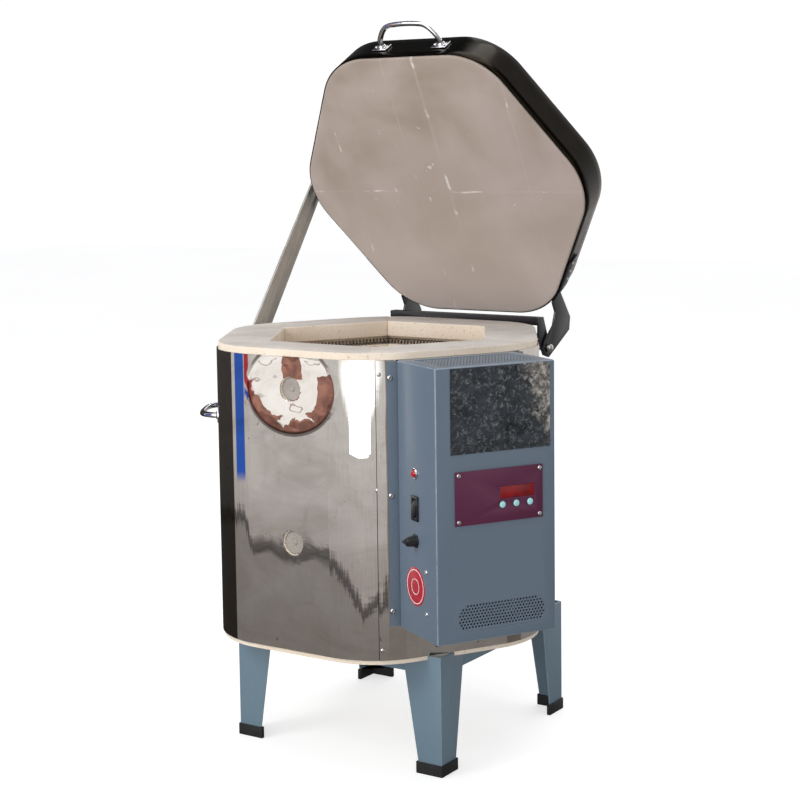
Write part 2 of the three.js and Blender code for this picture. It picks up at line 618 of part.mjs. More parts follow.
const kiln = new THREE.Group();
const jacketFace = BRICK_APOTHEM + JACKET_OUTER;
kiln.add(
  buildBrickwork(),
  buildElements(),
  buildJacket(),
  piece('peephole_plug_upper', plugGeometry(PLUG_LEVELS.upper), CERAMIC),
  piece('peephole_plug_lower', plugGeometry(PLUG_LEVELS.lower), CERAMIC),
  facet(5, piece('side_handle_left', handleGeometry(jacketFace, RIM - 108, 52, 30), CHROME)),
  buildHingeBase(),
  piece('hinge_rod', rodX(-HINGE_ROD_HALF, HINGE_ROD_HALF, HINGE_Y, HINGE_Z, HINGE_ROD), STAINLESS),
  buildLid(),
  buildSupportArm(),
  buildKeeper(),
  buildControlBox(),
  buildStand(),
);

export default kiln;
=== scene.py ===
"""Looks for the hexagonal glass kiln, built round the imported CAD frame.

Sizes are millimetres in the kiln's own axes; build_mesh() turns them into metres.
The front facet faces -Y, and facet k is turned 60 degrees * k about +Z from it.
"""
import json
import math

import bmesh
import bpy
from mathutils import Matrix, Vector, noise


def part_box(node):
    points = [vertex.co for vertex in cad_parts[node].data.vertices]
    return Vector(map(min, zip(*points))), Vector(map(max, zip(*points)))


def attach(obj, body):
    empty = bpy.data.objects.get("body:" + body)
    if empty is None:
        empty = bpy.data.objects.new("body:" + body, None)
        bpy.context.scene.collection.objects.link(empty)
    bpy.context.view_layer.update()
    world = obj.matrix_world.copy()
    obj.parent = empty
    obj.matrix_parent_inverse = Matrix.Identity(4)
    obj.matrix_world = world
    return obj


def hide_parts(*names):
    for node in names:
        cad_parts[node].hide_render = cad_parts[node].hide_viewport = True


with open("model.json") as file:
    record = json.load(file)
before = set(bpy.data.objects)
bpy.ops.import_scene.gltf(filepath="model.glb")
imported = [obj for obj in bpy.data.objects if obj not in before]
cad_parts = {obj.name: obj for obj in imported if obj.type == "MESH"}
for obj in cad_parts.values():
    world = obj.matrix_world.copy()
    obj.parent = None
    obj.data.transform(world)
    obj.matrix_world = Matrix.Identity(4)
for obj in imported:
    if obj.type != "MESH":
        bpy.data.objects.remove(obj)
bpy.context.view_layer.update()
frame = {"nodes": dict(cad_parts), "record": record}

MM = 0.001

# ------------------------------------------------------------------ shared dimensions

BRICK_APOTHEM, BRICK_CORNER = 219.5, 108.0
CHAMBER_APOTHEM = 146.0
RIM = 345.0
JACKET_OFFSET = 2.2
JACKET_SHEET = 1.1
JACKET_BOTTOM, JACKET_TOP = -58.0, 336.0
PLUG_LEVELS = (293.0, 88.0)
PLUG_X = 5.0
RING, RING_STRETCH = 61.0, 1.2        # the raised ring round the upper bore: half height, width / height
PLUG_BORE = 16.0                      # radius of the plugs' bores
SHEET_HOLE = 16.6                     # radius of the jacket's holes round them
LAP_SEAM = (132.0, 146.0)             # along the front facet and round its right corner
LID_APOTHEM, LID_CORNER = 215.0, 95.0
LID_BOTTOM, LID_TOP = 348.0, 406.0
LID_OPEN = 61.6
HINGE = Vector((0, 246, 305))
BOX_HALF, BOX_FRONT, BOX_BACK = 86.5, 325.3, 224.4
BOX_BOTTOM, BOX_TOP = -14.0, 336.0
VENT = (7, 17, 64, 17)                # centre x, centre z, half width, end radius
LAMP = (-270, 197)                    # local y and z on the box's left side, as for the next two
SWITCH = (-270, 152)
FUSE = (-270, 110)
LABEL = (-65.5, 78.5, 226.0, 334.0)   # left, right, bottom and top on the box's front
FACEPLATE_WINDOW = (-56, 62)          # left and right of the cut-out behind the controller
FACEPLATE_SCREWS = ((-55.5, 61.5), (140.5, 199.5))
BUTTONS_X, BUTTONS_Z = (7.5, 27.5, 47.5), 157.5
BADGE = (-268, 50.5)                  # local y and z on the box's left side
BADGE_RINGS = ((21.2, 22.4), (9.5, 10.5))
TOP_VENT_HALF, TOP_VENT_MARGIN = 70, 14
GLAND = (40, -270)
SIDE_HANDLE = (RIM - 108, 52, 30)     # height, half span and reach
LID_HANDLE = (LID_BOTTOM + 30, 50, 36)
BAND_OUTER = 1.7                      # the lid band's outer face over the slab's
STRAP_FACE = 4.5                      # the hinge straps' outer face over the slab's
STRAP_SCREWS = (31, 47, 63)           # along the strap from the facet's middle
HINGE_ROD_HALF = 140
FLOOR = -220.2                        # just under the boots
COS30 = math.cos(math.radians(30))


def facet(index):
    """Turns what is built facing -Y so that it faces out from facet `index`."""
    return Matrix.Rotation(math.radians(60 * index), 4, "Z")


def about_hinge(angle):
    turn = Matrix.Rotation(math.radians(angle), 4, "X")
    return Matrix.Translation(HINGE) @ turn @ Matrix.Translation(-HINGE)


LID_POSE = about_hinge(-LID_OPEN)

# ------------------------------------------------------------------ materials


class Nodes:
    """Shader arithmetic in one node tree, worked out from one set of coordinates."""

    def __init__(self, tree, coordinates):
        self.nodes, self.links = tree.nodes, tree.links
        self.coords = self.nodes.new("ShaderNodeTexCoord").outputs[coordinates]

    def put(self, socket, value):
        if isinstance(value, bpy.types.NodeSocket):
            self.links.new(value, socket)
        elif isinstance(value, (tuple, list)) and socket.type == "RGBA":
            socket.default_value = (*value[:3], 1.0)
        else:
            socket.default_value = value

    def place(self, matrix=None, scale=(1, 1, 1)):
        """Object coordinates, taken through a rigid transform and then stretched."""
        vector = self.coords
        if matrix is not None:
            turn = self.nodes.new("ShaderNodeMapping")
            turn.inputs["Rotation"].default_value = matrix.to_euler()
            turn.inputs["Location"].default_value = matrix.to_translation() * MM
            self.links.new(vector, turn.inputs["Vector"])
            vector = turn.outputs["Vector"]
        stretch = self.nodes.new("ShaderNodeMapping")
        stretch.inputs["Scale"].default_value = scale
        self.links.new(vector, stretch.inputs["Vector"])
        return stretch.outputs["Vector"]

    def noise(self, scale, detail=4.0, roughness=0.55, distortion=0.0, vector=None):
        node = self.nodes.new("ShaderNodeTexNoise")
        node.inputs["Scale"].default_value = scale
        node.inputs["Detail"].default_value = detail
        node.inputs["Roughness"].default_value = roughness
        node.inputs["Distortion"].default_value = distortion
        self.links.new(vector or self.coords, node.inputs["Vector"])
        return node.outputs["Fac"]

    def cells(self, scale):
        node = self.nodes.new("ShaderNodeTexVoronoi")
        node.inputs["Scale"].default_value = scale
        self.links.new(self.coords, node.inputs["Vector"])
        return node.outputs["Distance"]

    def split(self, vector):
        node = self.nodes.new("ShaderNodeSeparateXYZ")
        self.links.new(vector, node.inputs["Vector"])
        return node.outputs

    def math(self, operation, a, b=0.0, clamp=False):
        node = self.nodes.new("ShaderNodeMath")
        node.operation = operation
        node.use_clamp = clamp
        self.put(node.inputs[0], a)
        self.put(node.inputs[1], b)
        return node.outputs[0]

    def plus(self, a, b):
        return self.math("ADD", a, b)

    def minus(self, a, b, clamp=False):
        return self.math("SUBTRACT", a, b, clamp)

    def times(self, a, b):
        return self.math("MULTIPLY", a, b)

    def over(self, a, b, clamp=False):
        return self.math("DIVIDE", a, b, clamp)

    def larger(self, a, b):
        return self.math("MAXIMUM", a, b)

    def size(self, a):
        return self.math("ABSOLUTE", a)

    def ramp(self, value, *stops):
        """A colour ramp; a stop's colour may be one grey number."""
        node = self.nodes.new("ShaderNodeValToRGB")
        self.links.new(value, node.inputs["Fac"])
        elements = node.color_ramp.elements
        while len(elements) < len(stops):
            elements.new(0.5)
        for element, (position, colour) in zip(elements, stops):
            element.position = position
            grey = isinstance(colour, (int, float))
            element.color = (colour, colour, colour, 1) if grey else (*colour, 1)
        return node.outputs["Color"]

    def mix(self, factor, a, b):
        node = self.nodes.new("ShaderNodeMix")
        node.data_type = "RGBA"
        self.put(node.inputs[0], factor)
        self.put(node.inputs[6], a)
        self.put(node.inputs[7], b)
        return node.outputs[2]

    def line(self, coordinate, centre, half, soft):
        """1 on a straight line at `centre` mm, falling to 0 outside `half` mm."""
        away = self.size(self.minus(coordinate, centre * MM))
        return self.minus(1.0, self.over(self.minus(away, half * MM), soft * MM), True)

    def normal(self):
        """The world normal's X, Y and Z."""
        return self.split(self.nodes.new("ShaderNodeNewGeometry").outputs["Normal"])


class Look(Nodes):
    """A procedural material: object coordinates in, Principled shader out."""

    def __init__(self, name, roughness, metallic=0.0, **constants):
        self.material = bpy.data.materials.new(name)
        self.material.use_nodes = True
        super().__init__(self.material.node_tree, "Object")
        self.shader = self.nodes["Principled BSDF"]
        self.shader.inputs["Roughness"].default_value = roughness
        self.shader.inputs["Metallic"].default_value = metallic
        for socket, value in constants.items():
            self.shader.inputs[socket.replace("_", " ")].default_value = value

    def colour(self, value):
        self.put(self.shader.inputs["Base Color"], value)

    def rough(self, value):
        self.put(self.shader.inputs["Roughness"], value)

    def glow(self, colour, strength):
        self.put(self.shader.inputs["Emission Color"], colour)
        self.put(self.shader.inputs["Emission Strength"], strength)

    def bump(self, height, distance, strength=1.0, under=None):
        node = self.nodes.new("ShaderNodeBump")
        node.inputs["Distance"].default_value = distance * MM
        node.inputs["Strength"].default_value = strength
        self.put(node.inputs["Height"], height)
        if under is not None:
            self.links.new(under, node.inputs["Normal"])
        self.links.new(node.outputs["Normal"], self.shader.inputs["Normal"])
        return node.outputs["Normal"]


def srgb(r, g, b):
    """An 8-bit screen colour as linear light."""
    def linear(v):
        v /= 255
        return v / 12.92 if v <= 0.04045 else ((v + 0.055) / 1.055) ** 2.4
    return tuple(linear(v) for v in (r, g, b))


def shaded(colour, factor):
    return tuple(min(1.0, c * factor) for c in colour)


def firebrick():
    look = Look("firebrick", 0.95)
    pores = look.cells(420.0)
    cloud = look.noise(9.0, 5.0)
    grain = look.noise(160.0, 6.0, 0.7)
    side = look.ramp(cloud, (0.3, srgb(236, 218, 196)), (0.7, srgb(248, 236, 220)))
    top = look.ramp(look.noise(14.0, 6.0, 0.6), (0.3, srgb(186, 178, 172)), (0.7, srgb(212, 206, 198)))
    upward = look.ramp(look.normal()[2], (0.75, 0.0), (0.95, 1.0))
    base = look.mix(upward, side, top)
    speck = look.ramp(look.noise(310.0, 2.0, 0.5), (0.3, 1.0), (0.38, 0.0))
    base = look.mix(look.times(speck, 0.35), base, srgb(150, 128, 104))
    height = look.split(look.coords)[2]
    for level in (115.0, 230.0):
        course = look.line(height, level, 0.5, 1.2)
        base = look.mix(look.times(course, 0.55), base, srgb(150, 132, 112))
    look.colour(base)
    pits = look.ramp(pores, (0.0, 0.0), (0.35, 1.0))
    first = look.bump(pits, 0.5, 0.25)
    look.bump(grain, 0.6, 0.35, first)
    return look.material


def lid_brick():
    look = Look("aged_lid_brick", 0.93)
    closed = look.place(about_hinge(LID_OPEN))
    x, y, z = look.split(closed)
    cloud = look.noise(7.0, 3.0, 0.5, 0.4, closed)
    face = look.ramp(cloud, (0.32, srgb(160, 144, 130)), (0.5, srgb(177, 162, 151)),
                     (0.68, srgb(190, 176, 168)))
    blush = look.noise(3.2, 2.0, 0.5, 0.0, closed)
    face = look.mix(look.ramp(blush, (0.45, 0.0), (0.65, 0.35)), face, srgb(172, 152, 150))
    # Painted light: the face is lightened towards the hinge, where the open lid's lower part gets less
    # light.
    hingeward = look.plus(look.times(y, 2.3), 0.5)
    face = look.mix(look.ramp(hingeward, (0.4, 0.0), (1.0, 0.8)), face, srgb(214, 200, 191))
    warp = look.times(look.minus(look.noise(22.0, 4.0), 0.5), 0.006)
    wavy_x = look.plus(x, warp)
    wavy_y = look.plus(y, warp)
    patchy = look.ramp(look.noise(26.0, 3.0, 0.6), (0.58, 0.0), (0.66, 1.0))
    fading = look.ramp(look.noise(11.0, 2.0, 0.5), (0.4, 0.15), (0.6, 1.0))
    joints = look.line(wavy_x, 15.0, 0.6, 2.6)
    for centre in (-38.0, -157.0, 150.0):
        joints = look.larger(joints, look.times(look.line(wavy_x, centre, 0.3, 1.6), 0.8))
    joints = look.larger(joints, look.line(wavy_y, 4.0, 0.3, 1.8))
    soft = look.times(joints, fading)
    face = look.mix(look.times(soft, 0.24), face, srgb(205, 195, 190))
    chips = look.times(joints, patchy)
    edge = look.times(look.ramp(look.noise(70.0, 2.0), (0.70, 0.0), (0.74, 1.0)),
                     look.ramp(look.noise(6.0, 1.0), (0.52, 0.0), (0.62, 1.0)))
    chips = look.larger(chips, edge)
    face = look.mix(look.times(chips, 0.85), face, srgb(232, 226, 220))
    fresh = look.ramp(z, (0.3515, 0.0), (0.353, 1.0))
    white = look.ramp(look.noise(40.0, 4.0, 0.6), (0.3, srgb(206, 196, 178)), (0.7, srgb(230, 222, 206)))
    look.colour(look.mix(fresh, face, white))
    first = look.bump(look.noise(210.0, 6.0, 0.7), 0.5, 0.3)
    look.bump(chips, -0.5, 0.8, first)
    return look.material


def painted_reflection_crescent(look):
    """1 where a brown reflection is painted on the sheet: a crescent under the upper bore and a patch over
    it.
    """
    x, y, z = look.split(look.coords)
    front = look.math("LESS_THAN", y, -0.19)
    across = look.times(look.minus(x, PLUG_X * MM), 1000 / RING_STRETCH)
    up = look.times(look.minus(z, PLUG_LEVELS[0] * MM), 1000)
    away = look.math("SQRT", look.plus(look.times(across, across), look.times(up, up)))
    drift = look.times(look.minus(look.noise(24.0, 3.0, 0.5, 1.2), 0.5), 52.0)
    inner = look.minus(look.plus(away, drift), 42.0, True)
    crescent = look.times(inner, look.minus(RING - 1.5, away, True))
    crescent = look.times(crescent, look.minus(look.plus(drift, 18.0), up, True))
    side = look.size(look.plus(across, look.times(drift, 0.4)))
    patch = look.times(look.minus(13.0, side, True), look.minus(up, 13.0, True))
    return look.times(look.times(look.larger(crescent, patch), front), 0.93)


def stainless():
    """Bright rolled sheet, with faint rolling lines, smears and a brown reflection painted round the upper
    bore.
    """
    look = Look("bright_stainless", 0.06, 1.0)
    height = look.split(look.coords)[2]
    smear = look.noise(5.0, 4.0, 0.6, 1.6, look.place(scale=(1.0, 1.0, 2.2)))
    tint = look.ramp(smear, (0.30, srgb(206, 198, 190)), (0.5, srgb(222, 218, 214)),
                     (0.75, srgb(236, 234, 230)))
    dust = look.ramp(look.noise(34.0, 6.0, 0.65, 0.8), (0.56, 0.0), (0.72, 0.4))
    warm = look.mix(dust, tint, srgb(196, 182, 168))
    low = look.ramp(height, (0.0, 0.3), (0.12, 0.0))
    base = look.mix(low, warm, srgb(200, 192, 184))
    spots = look.noise(95.0, 2.0, 0.5, 1.2, look.place(scale=(1.0, 1.0, 0.6)))
    flecks = look.ramp(spots, (0.735, 0.0), (0.75, 0.7))
    base = look.mix(flecks, base, srgb(84, 76, 72))
    # Painted reflection: brown mixed into the sheet in a crescent under the upper bore and a patch over it.
    reflected_brown = look.ramp(look.noise(60.0, 3.0, 0.5, 0.6), (0.35, srgb(104, 58, 46)), (0.7, srgb(156, 104, 86)))
    look.colour(look.mix(painted_reflection_crescent(look), base, reflected_brown))
    rolled = look.noise(70.0, 3.0, 0.6, 0.0, look.place(scale=(1.0, 1.0, 0.06)))
    look.rough(look.ramp(look.noise(16.0, 5.0, 0.6, 0.6), (0.4, 0.008), (0.65, 0.02), (0.85, 0.08)))
    first = look.bump(rolled, 0.02, 0.05)
    look.bump(look.noise(22.0, 3.0, 0.5, 1.2, look.place(scale=(1.0, 1.0, 1.5))), 0.04, 0.4, first)
    return look.material


def metal(name, colour, roughness, streak=None, scratch=0.25):
    """A metal with cloudy tone, fine scratches and, on `streak`, brushing along one axis."""
    look = Look(name, roughness, 1.0)
    tone = look.noise(24.0, 5.0, 0.6)
    dark, light = shaded(colour, 0.72), shaded(colour, 1.18)
    base = look.ramp(tone, (0.3, dark), (0.7, light))
    if streak is not None:
        brushed = look.noise(60.0, 4.0, 0.7, 0.0, streak(look))
        base = look.mix(0.6, base, look.ramp(brushed, (0.3, dark), (0.7, light)))
        look.bump(brushed, 0.08, 0.5)
    else:
        look.bump(look.noise(220.0, 3.0, 0.6), 0.05, scratch)
    look.colour(base)
    look.rough(look.ramp(look.noise(40.0, 5.0, 0.6), (0.3, roughness * 0.7), (0.75, roughness * 1.6)))
    return look.material


def rounded_edges(look, turned):
    """1 on surfaces that lie diagonal to the upright axes `turned` degrees about Z: the folds."""
    x, y, z = look.normal()
    cosine, sine = math.cos(math.radians(turned)), math.sin(math.radians(turned))
    along = look.plus(look.times(x, cosine), look.times(y, sine))
    across = look.minus(look.times(y, cosine), look.times(x, sine))
    flat = look.larger(look.size(along), look.size(across))
    flat = look.larger(flat, look.size(z))
    return look.ramp(flat, (0.78, 1.0), (0.95, 0.0))


def powder_coat(name, colour, roughness, fold_highlight, turned=0.0):
    """Semi-gloss powder coat: orange peel, a slightly cloudy tone, and paler on the folds, where a highlight
    is painted in patches.
    """
    look = Look(name, roughness, 0.0, Specular_IOR_Level=0.5)
    cloud = look.noise(6.0, 4.0, 0.5)
    base = look.ramp(cloud, (0.3, shaded(colour, 0.97)), (0.7, shaded(colour, 1.03)))
    fine = look.ramp(look.noise(260.0, 3.0, 0.6), (0.62, 0.0), (0.75, 0.25))
    base = look.mix(fine, base, shaded(colour, 0.6))
    # Painted highlight: the rounded folds are lightened in patches.
    painted_fold_highlight = look.times(rounded_edges(look, turned),
                     look.ramp(look.noise(80.0, 4.0, 0.6), (0.35, 0.35), (0.65, 0.9)))
    look.colour(look.mix(painted_fold_highlight, base, fold_highlight))
    look.rough(look.ramp(look.noise(12.0, 5.0, 0.6), (0.3, roughness * 0.92), (0.7, roughness * 1.1)))
    look.bump(look.noise(330.0, 2.0, 0.5), 0.12, 0.35)
    return look.material


def moulded(name, colour, roughness=0.45, grain=380.0, **constants):
    """Moulded plastic or rubber: a fine grain, dusty high spots and rubbed patches."""
    look = Look(name, roughness, 0.0, **constants)
    dusty = look.ramp(look.noise(38.0, 5.0, 0.65), (0.45, 0.0), (0.8, 0.35))
    look.colour(look.mix(dusty, colour, tuple(c + 0.02 for c in shaded(colour, 1.7))))
    patches = look.noise(22.0, 4.0, 0.6)
    look.rough(look.ramp(patches, (0.3, roughness * 0.75), (0.75, min(1.0, roughness * 1.4))))
    look.bump(look.noise(grain, 3.0, 0.6), 0.15, 0.3)
    return look.material


def label_foil():
    """A blank dark foil plate, rubbed through to silver towards its right side."""
    look = Look("speckled_foil", 0.3, 0.75)
    local = look.place(facet(-1))
    x, _, z = look.split(local)
    to_right = look.times(look.minus(x, 0.012), 9.0)
    upper = look.times(look.minus(z, 0.285), 3.5)
    mottle = look.noise(70.0, 6.0, 0.75, 0.8, local)
    rubbed = look.plus(look.plus(mottle, to_right), upper)
    mask = look.ramp(rubbed, (0.86, 0.0), (1.1, 1.0))
    flecks = look.ramp(look.noise(150.0, 5.0, 0.8, 0.9, local), (0.52, 0.0), (0.64, 1.0))
    dark = look.ramp(look.noise(30.0, 5.0, 0.7, 0.5, local), (0.3, srgb(34, 38, 42)),
                     (0.7, srgb(80, 86, 92)))
    dark = look.mix(look.times(flecks, 0.7), dark, srgb(150, 156, 160))
    silver = look.ramp(look.noise(110.0, 5.0, 0.8, 0.0, local), (0.35, srgb(70, 68, 66)),
                       (0.5, srgb(140, 138, 132)), (0.62, srgb(222, 216, 212)))
    look.colour(look.mix(mask, dark, silver))
    look.rough(look.ramp(mottle, (0.3, 0.22), (0.7, 0.45)))
    first = look.bump(look.noise(45.0, 4.0, 0.6, 0.6, local), 0.5, 0.35)
    look.bump(look.noise(240.0, 4.0, 0.7, 0.0, local), 0.15, 0.5, first)
    return look.material


def lens(name, colour, glow):
    look = Look(name, 0.24, Coat_Weight=0.15)
    tone = look.ramp(look.noise(90.0, 3.0, 0.5), (0.35, shaded(colour, 0.55)), (0.65, colour))
    look.colour(tone)
    look.glow(tone, glow)
    look.bump(look.noise(140.0, 2.0, 0.5), 0.05, 0.3)
    return look.material


def circuit_board():
    look = Look("circuit_board", 0.5)
    tracks = look.ramp(look.cells(260.0), (0.28, 0.0), (0.32, 1.0))
    look.colour(look.mix(tracks, srgb(30, 86, 52), srgb(20, 60, 38)))
    look.bump(tracks, 0.1, 0.4)
    return look.material


def oxidised_wire():
    look = Look("oxidised_wire", 0.6, 0.7)
    scale = look.ramp(look.noise(120.0, 5.0, 0.7), (0.35, srgb(62, 54, 48)), (0.65, srgb(128, 112, 98)))
    look.colour(scale)
    look.bump(look.noise(300.0, 3.0, 0.6), 0.1, 0.5)
    return look.material


def along_arm(look):
    """Brushing that runs along the sloping support arm."""
    return look.place(Matrix.Rotation(math.radians(90 - 54.1), 4, "X"), (1.0, 14.0, 0.25))


LOOKS = {
    "brick": firebrick(),
    "lid_brick": lid_brick(),
    "heating_wire": oxidised_wire(),
    "stainless": stainless(),
    # The lid band is bright polished steel: its near-black colour here is a painted dark reflection, and the
    # lap's dark strip uses it as painted shadow.
    "dark_band": metal("polished_band_painted_dark", srgb(32, 28, 23), 0.16, scratch=0.5),
    "chrome": metal("chrome", srgb(214, 214, 216), 0.07, scratch=0.1),
    "brushed_bar": metal("brushed_bar", srgb(206, 204, 197), 0.5, streak=along_arm),
    # Each powder coat's last colour is the highlight painted on its folds.
    "black_paint": powder_coat("black_paint", srgb(13, 15, 21), 0.3, srgb(84, 90, 100)),
    "blue_grey_paint": powder_coat("blue_grey_coat", srgb(102, 116, 131), 0.3, srgb(150, 162, 172), 60.0),
    "leg_paint": powder_coat("leg_coat", srgb(109, 131, 145), 0.42, srgb(150, 170, 180)),
    "label": label_foil(),
    "maroon_panel": powder_coat("maroon_plate", srgb(92, 34, 66), 0.34, srgb(120, 60, 96), 60.0),
    "red_lens": lens("red_window", srgb(140, 0, 10), 0.04),
    "lamp": lens("red_lamp", srgb(190, 8, 20), 0.05),
    "cyan_button": moulded("cyan_button", srgb(168, 226, 228), 0.35, 600.0),
    "black_plastic": moulded("black_plastic", srgb(24, 24, 27), 0.38),
    "circuit_board": circuit_board(),
    "transformer_iron": powder_coat("varnished_iron", srgb(52, 46, 42), 0.5, srgb(110, 100, 90)),
    "ceramic": moulded("plug_ceramic", srgb(158, 150, 142), 0.8, 240.0),
    "rubber": moulded("boot_rubber", srgb(18, 18, 19), 0.7, 300.0),
    "screw": metal("zinc_screw", srgb(206, 206, 204), 0.22, scratch=0.3),
    "badge": moulded("badge_red", srgb(178, 30, 48), 0.3, 500.0, Coat_Weight=0.4),
    "badge_white": moulded("badge_white", srgb(232, 224, 224), 0.35, 500.0),
}

# ------------------------------------------------------------------ mesh tools


def placed(name, data):
    made = bpy.data.objects.new(name, data)
    bpy.context.scene.collection.objects.link(made)
    return made


def build_mesh(name, vertices, faces, matrix=None, smooth=45.0):
    """A mesh object in metres from millimetre vertices, shaded smooth below an angle."""
    mesh = bpy.data.meshes.new(name)
    matrix = matrix or Matrix.Identity(4)
    mesh.from_pydata([tuple((matrix @ Vector(v)) * MM) for v in vertices], [], faces)
    mesh.validate()
    made = placed(name, mesh)
    tidy_normals(made, smooth)
    return made


def tidy_normals(made, smooth):
    work = bmesh.new()
    work.from_mesh(made.data)
    bmesh.ops.remove_doubles(work, verts=work.verts, dist=0.02 * MM)
    bmesh.ops.recalc_face_normals(work, faces=work.faces)
    work.to_mesh(made.data)
    work.free()
    shade(made, smooth)


def shade(made, smooth):
    for polygon in made.data.polygons:
        polygon.use_smooth = True
    made.data.set_sharp_from_angle(angle=math.radians(smooth))


def apply_modifier(made, kind, **settings):
    modifier = made.modifiers.new("shape", kind)
    for key, value in settings.items():
        setattr(modifier, key, value)
    depsgraph = bpy.context.evaluated_depsgraph_get()
    shaped = bpy.data.meshes.new_from_object(made.evaluated_get(depsgraph))
    made.modifiers.clear()
    made.data = shaped


def dress(made, look, slot, body, *replaced):
    """Gives a piece its material, its body and the CAD nodes it stands for; `slot` is not used."""
    made.data.materials.clear()
    made.data.materials.append(LOOKS[look])
    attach(made, body)
    if replaced:
        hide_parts(*replaced)
    return made


def refined(node, look, slot, body, bevel, segments=2, smooth=40.0):
    """The CAD node's own shape with its edges rounded over."""
    made = placed(node + "_look", frame["nodes"][node].data.copy())
    work = bmesh.new()
    work.from_mesh(made.data)
    bmesh.ops.remove_doubles(work, verts=work.verts, dist=0.00001)
    bmesh.ops.dissolve_limit(work, angle_limit=math.radians(1.0), verts=work.verts, edges=work.edges)
    bmesh.ops.recalc_face_normals(work, faces=work.faces)
    work.to_mesh(made.data)
    work.free()
    apply_modifier(made, "BEVEL", width=bevel * MM, segments=segments, limit_method="ANGLE",
                   angle_limit=math.radians(33), harden_normals=False, use_clamp_overlap=True)
    shade(made, smooth)
    return dress(made, look, slot, body, node)


def strips(columns, rows, wrap_columns=False, wrap_rows=False):
    """Four-sided faces over a grid of points that are held column by column."""
    faces = []
    for i in range(columns if wrap_columns else columns - 1):
        j = (i + 1) % columns
        for r in range(rows if wrap_rows else rows - 1):
            s = (r + 1) % rows
            faces.append((i * rows + r, j * rows + r, j * rows + s, i * rows + s))
    return faces


def outline(apothem, radius, flat_steps, corner_steps):
    """Round the rounded hexagon: (x, y, outward x, outward y, facet, local x)."""
    half = (apothem - radius) * math.tan(math.radians(30))
    reach = (apothem - radius) / COS30
    points = []
    for k in range(6):
        turn = facet(k).to_3x3()
        steps = flat_steps if isinstance(flat_steps, int) else flat_steps[k]
        for i in range(steps):
            x = -half + 2 * half * i / steps
            place, out = turn @ Vector((x, -apothem, 0)), turn @ Vector((0, -1, 0))
            points.append((place.x, place.y, out.x, out.y, k, x))
        for i in range(corner_steps):
            angle = math.radians(60 * i / corner_steps)
            out = Vector((math.sin(angle), -math.cos(angle), 0))
            centre = Vector((reach / 2, -reach * COS30, 0))
            place, out = turn @ (centre + out * radius), turn @ out
            points.append((place.x, place.y, out.x, out.y, k, half + angle * radius))
    return points


def sweep(name, ring, profile, matrix=None, closed=True, caps=False, lift=None, smooth=40.0):
    """Carries a profile of (offset, z) points round an outline."""
    count, rows = len(ring), len(profile)
    vertices = []
    for x, y, nx, ny, k, along in ring:
        for offset, z in profile:
            extra = lift(k, along, z) if lift else 0.0
            vertices.append((x + nx * (offset + extra), y + ny * (offset + extra), z))
    faces = strips(count, rows, True, closed)
    if caps:
        faces.append([i * rows for i in range(count)][::-1])
        faces.append([i * rows + rows - 1 for i in range(count)])
    return build_mesh(name, vertices, faces, matrix, smooth)


def lathe(name, profile, matrix, steps=32, smooth=35.0):
    """Spins (radius, height) points about local +Z, with `matrix` to place it."""
    vertices = []
    for s in range(steps):
        angle = 2 * math.pi * s / steps
        vertices += [(r * math.cos(angle), r * math.sin(angle), h) for r, h in profile]
    return build_mesh(name, vertices, strips(steps, len(profile), True), matrix, smooth)


def upright(place, outward):
    """A frame at `place` whose local +Z points along `outward`."""
    turn = Vector(outward).to_track_quat("Z", "Y").to_matrix().to_4x4()
    return Matrix.Translation(Vector(place)) @ turn


def join(name, parts):
    """Several objects' meshes as one object."""
    work = bmesh.new()
    for part in parts:
        part.data.transform(part.matrix_world)
        work.from_mesh(part.data)
        bpy.data.objects.remove(part)
    mesh = bpy.data.meshes.new(name)
    work.to_mesh(mesh)
    work.free()
    made = placed(name, mesh)
    shade(made, 40)
    return made


def screw_mesh(place, outward, radius):
    """A pan-head screw with a cross recess, standing on a face."""
    height, steps = radius * 0.55, 14
    vertices = []
    for i in range(steps + 1):
        for j in range(steps + 1):
            u, v = 2 * i / steps - 1, 2 * j / steps - 1
            # a square grid drawn out to a disc
            x, y = u * math.sqrt(1 - v * v / 2), v * math.sqrt(1 - u * u / 2)
            d = min(1.0, math.hypot(x, y))
            dome = height * (1 - d ** 4) ** 0.5
            arm = min(abs(x), abs(y)) < 0.13 and max(abs(x), abs(y)) < 0.56
            vertices.append((x * radius, y * radius, dome - (height * 0.55 if arm else 0)))
    return build_mesh("screw", vertices, strips(steps + 1, steps + 1), upright(place, outward), 30)


def screws(name, body, places, radius=3.6):
    """One object for a set of screws: each place is (point, outward)."""
    parts = [screw_mesh(place, outward, radius) for place, outward in places]
    return dress(join(name, parts), "screw", "stainless", body)


def tube(name, points, radius, squeeze=1.0, steps=12, matrix=None):
    """A round bar along a smooth path, its ends closed."""
    path = catmull(points, 6)
    vertices, side = [], None
    for i, p in enumerate(path):
        ahead = (path[min(i + 1, len(path) - 1)] - path[max(i - 1, 0)]).normalized()
        if side is None:
            side = ahead.orthogonal().normalized()
        side = (side - ahead * side.dot(ahead)).normalized()
        up = ahead.cross(side)
        for s in range(steps):
            angle = 2 * math.pi * s / steps
            vertices.append(p + side * math.cos(angle) * radius + up * math.sin(angle) * radius * squeeze)
    faces = strips(len(path), steps, False, True)
    last = (len(path) - 1) * steps
    faces.append(list(range(steps))[::-1])
    faces.append([last + s for s in range(steps)])
    return build_mesh(name, vertices, faces, matrix, 50)


def catmull(points, steps):
    points = [Vector(p) for p in points]
    ends = [points[0] * 2 - points[1], *points, points[-1] * 2 - points[-2]]
    path = []
    for i in range(1, len(ends) - 2):
        a, b, c, d = ends[i - 1:i + 3]
        for s in range(steps):
            t = s / steps
            path.append(0.5 * (2 * b + (c - a) * t + (2 * a - 5 * b + 4 * c - d) * t * t
                               + (3 * b - a - 3 * c + d) * t ** 3))
    path.append(points[-1])
    return path


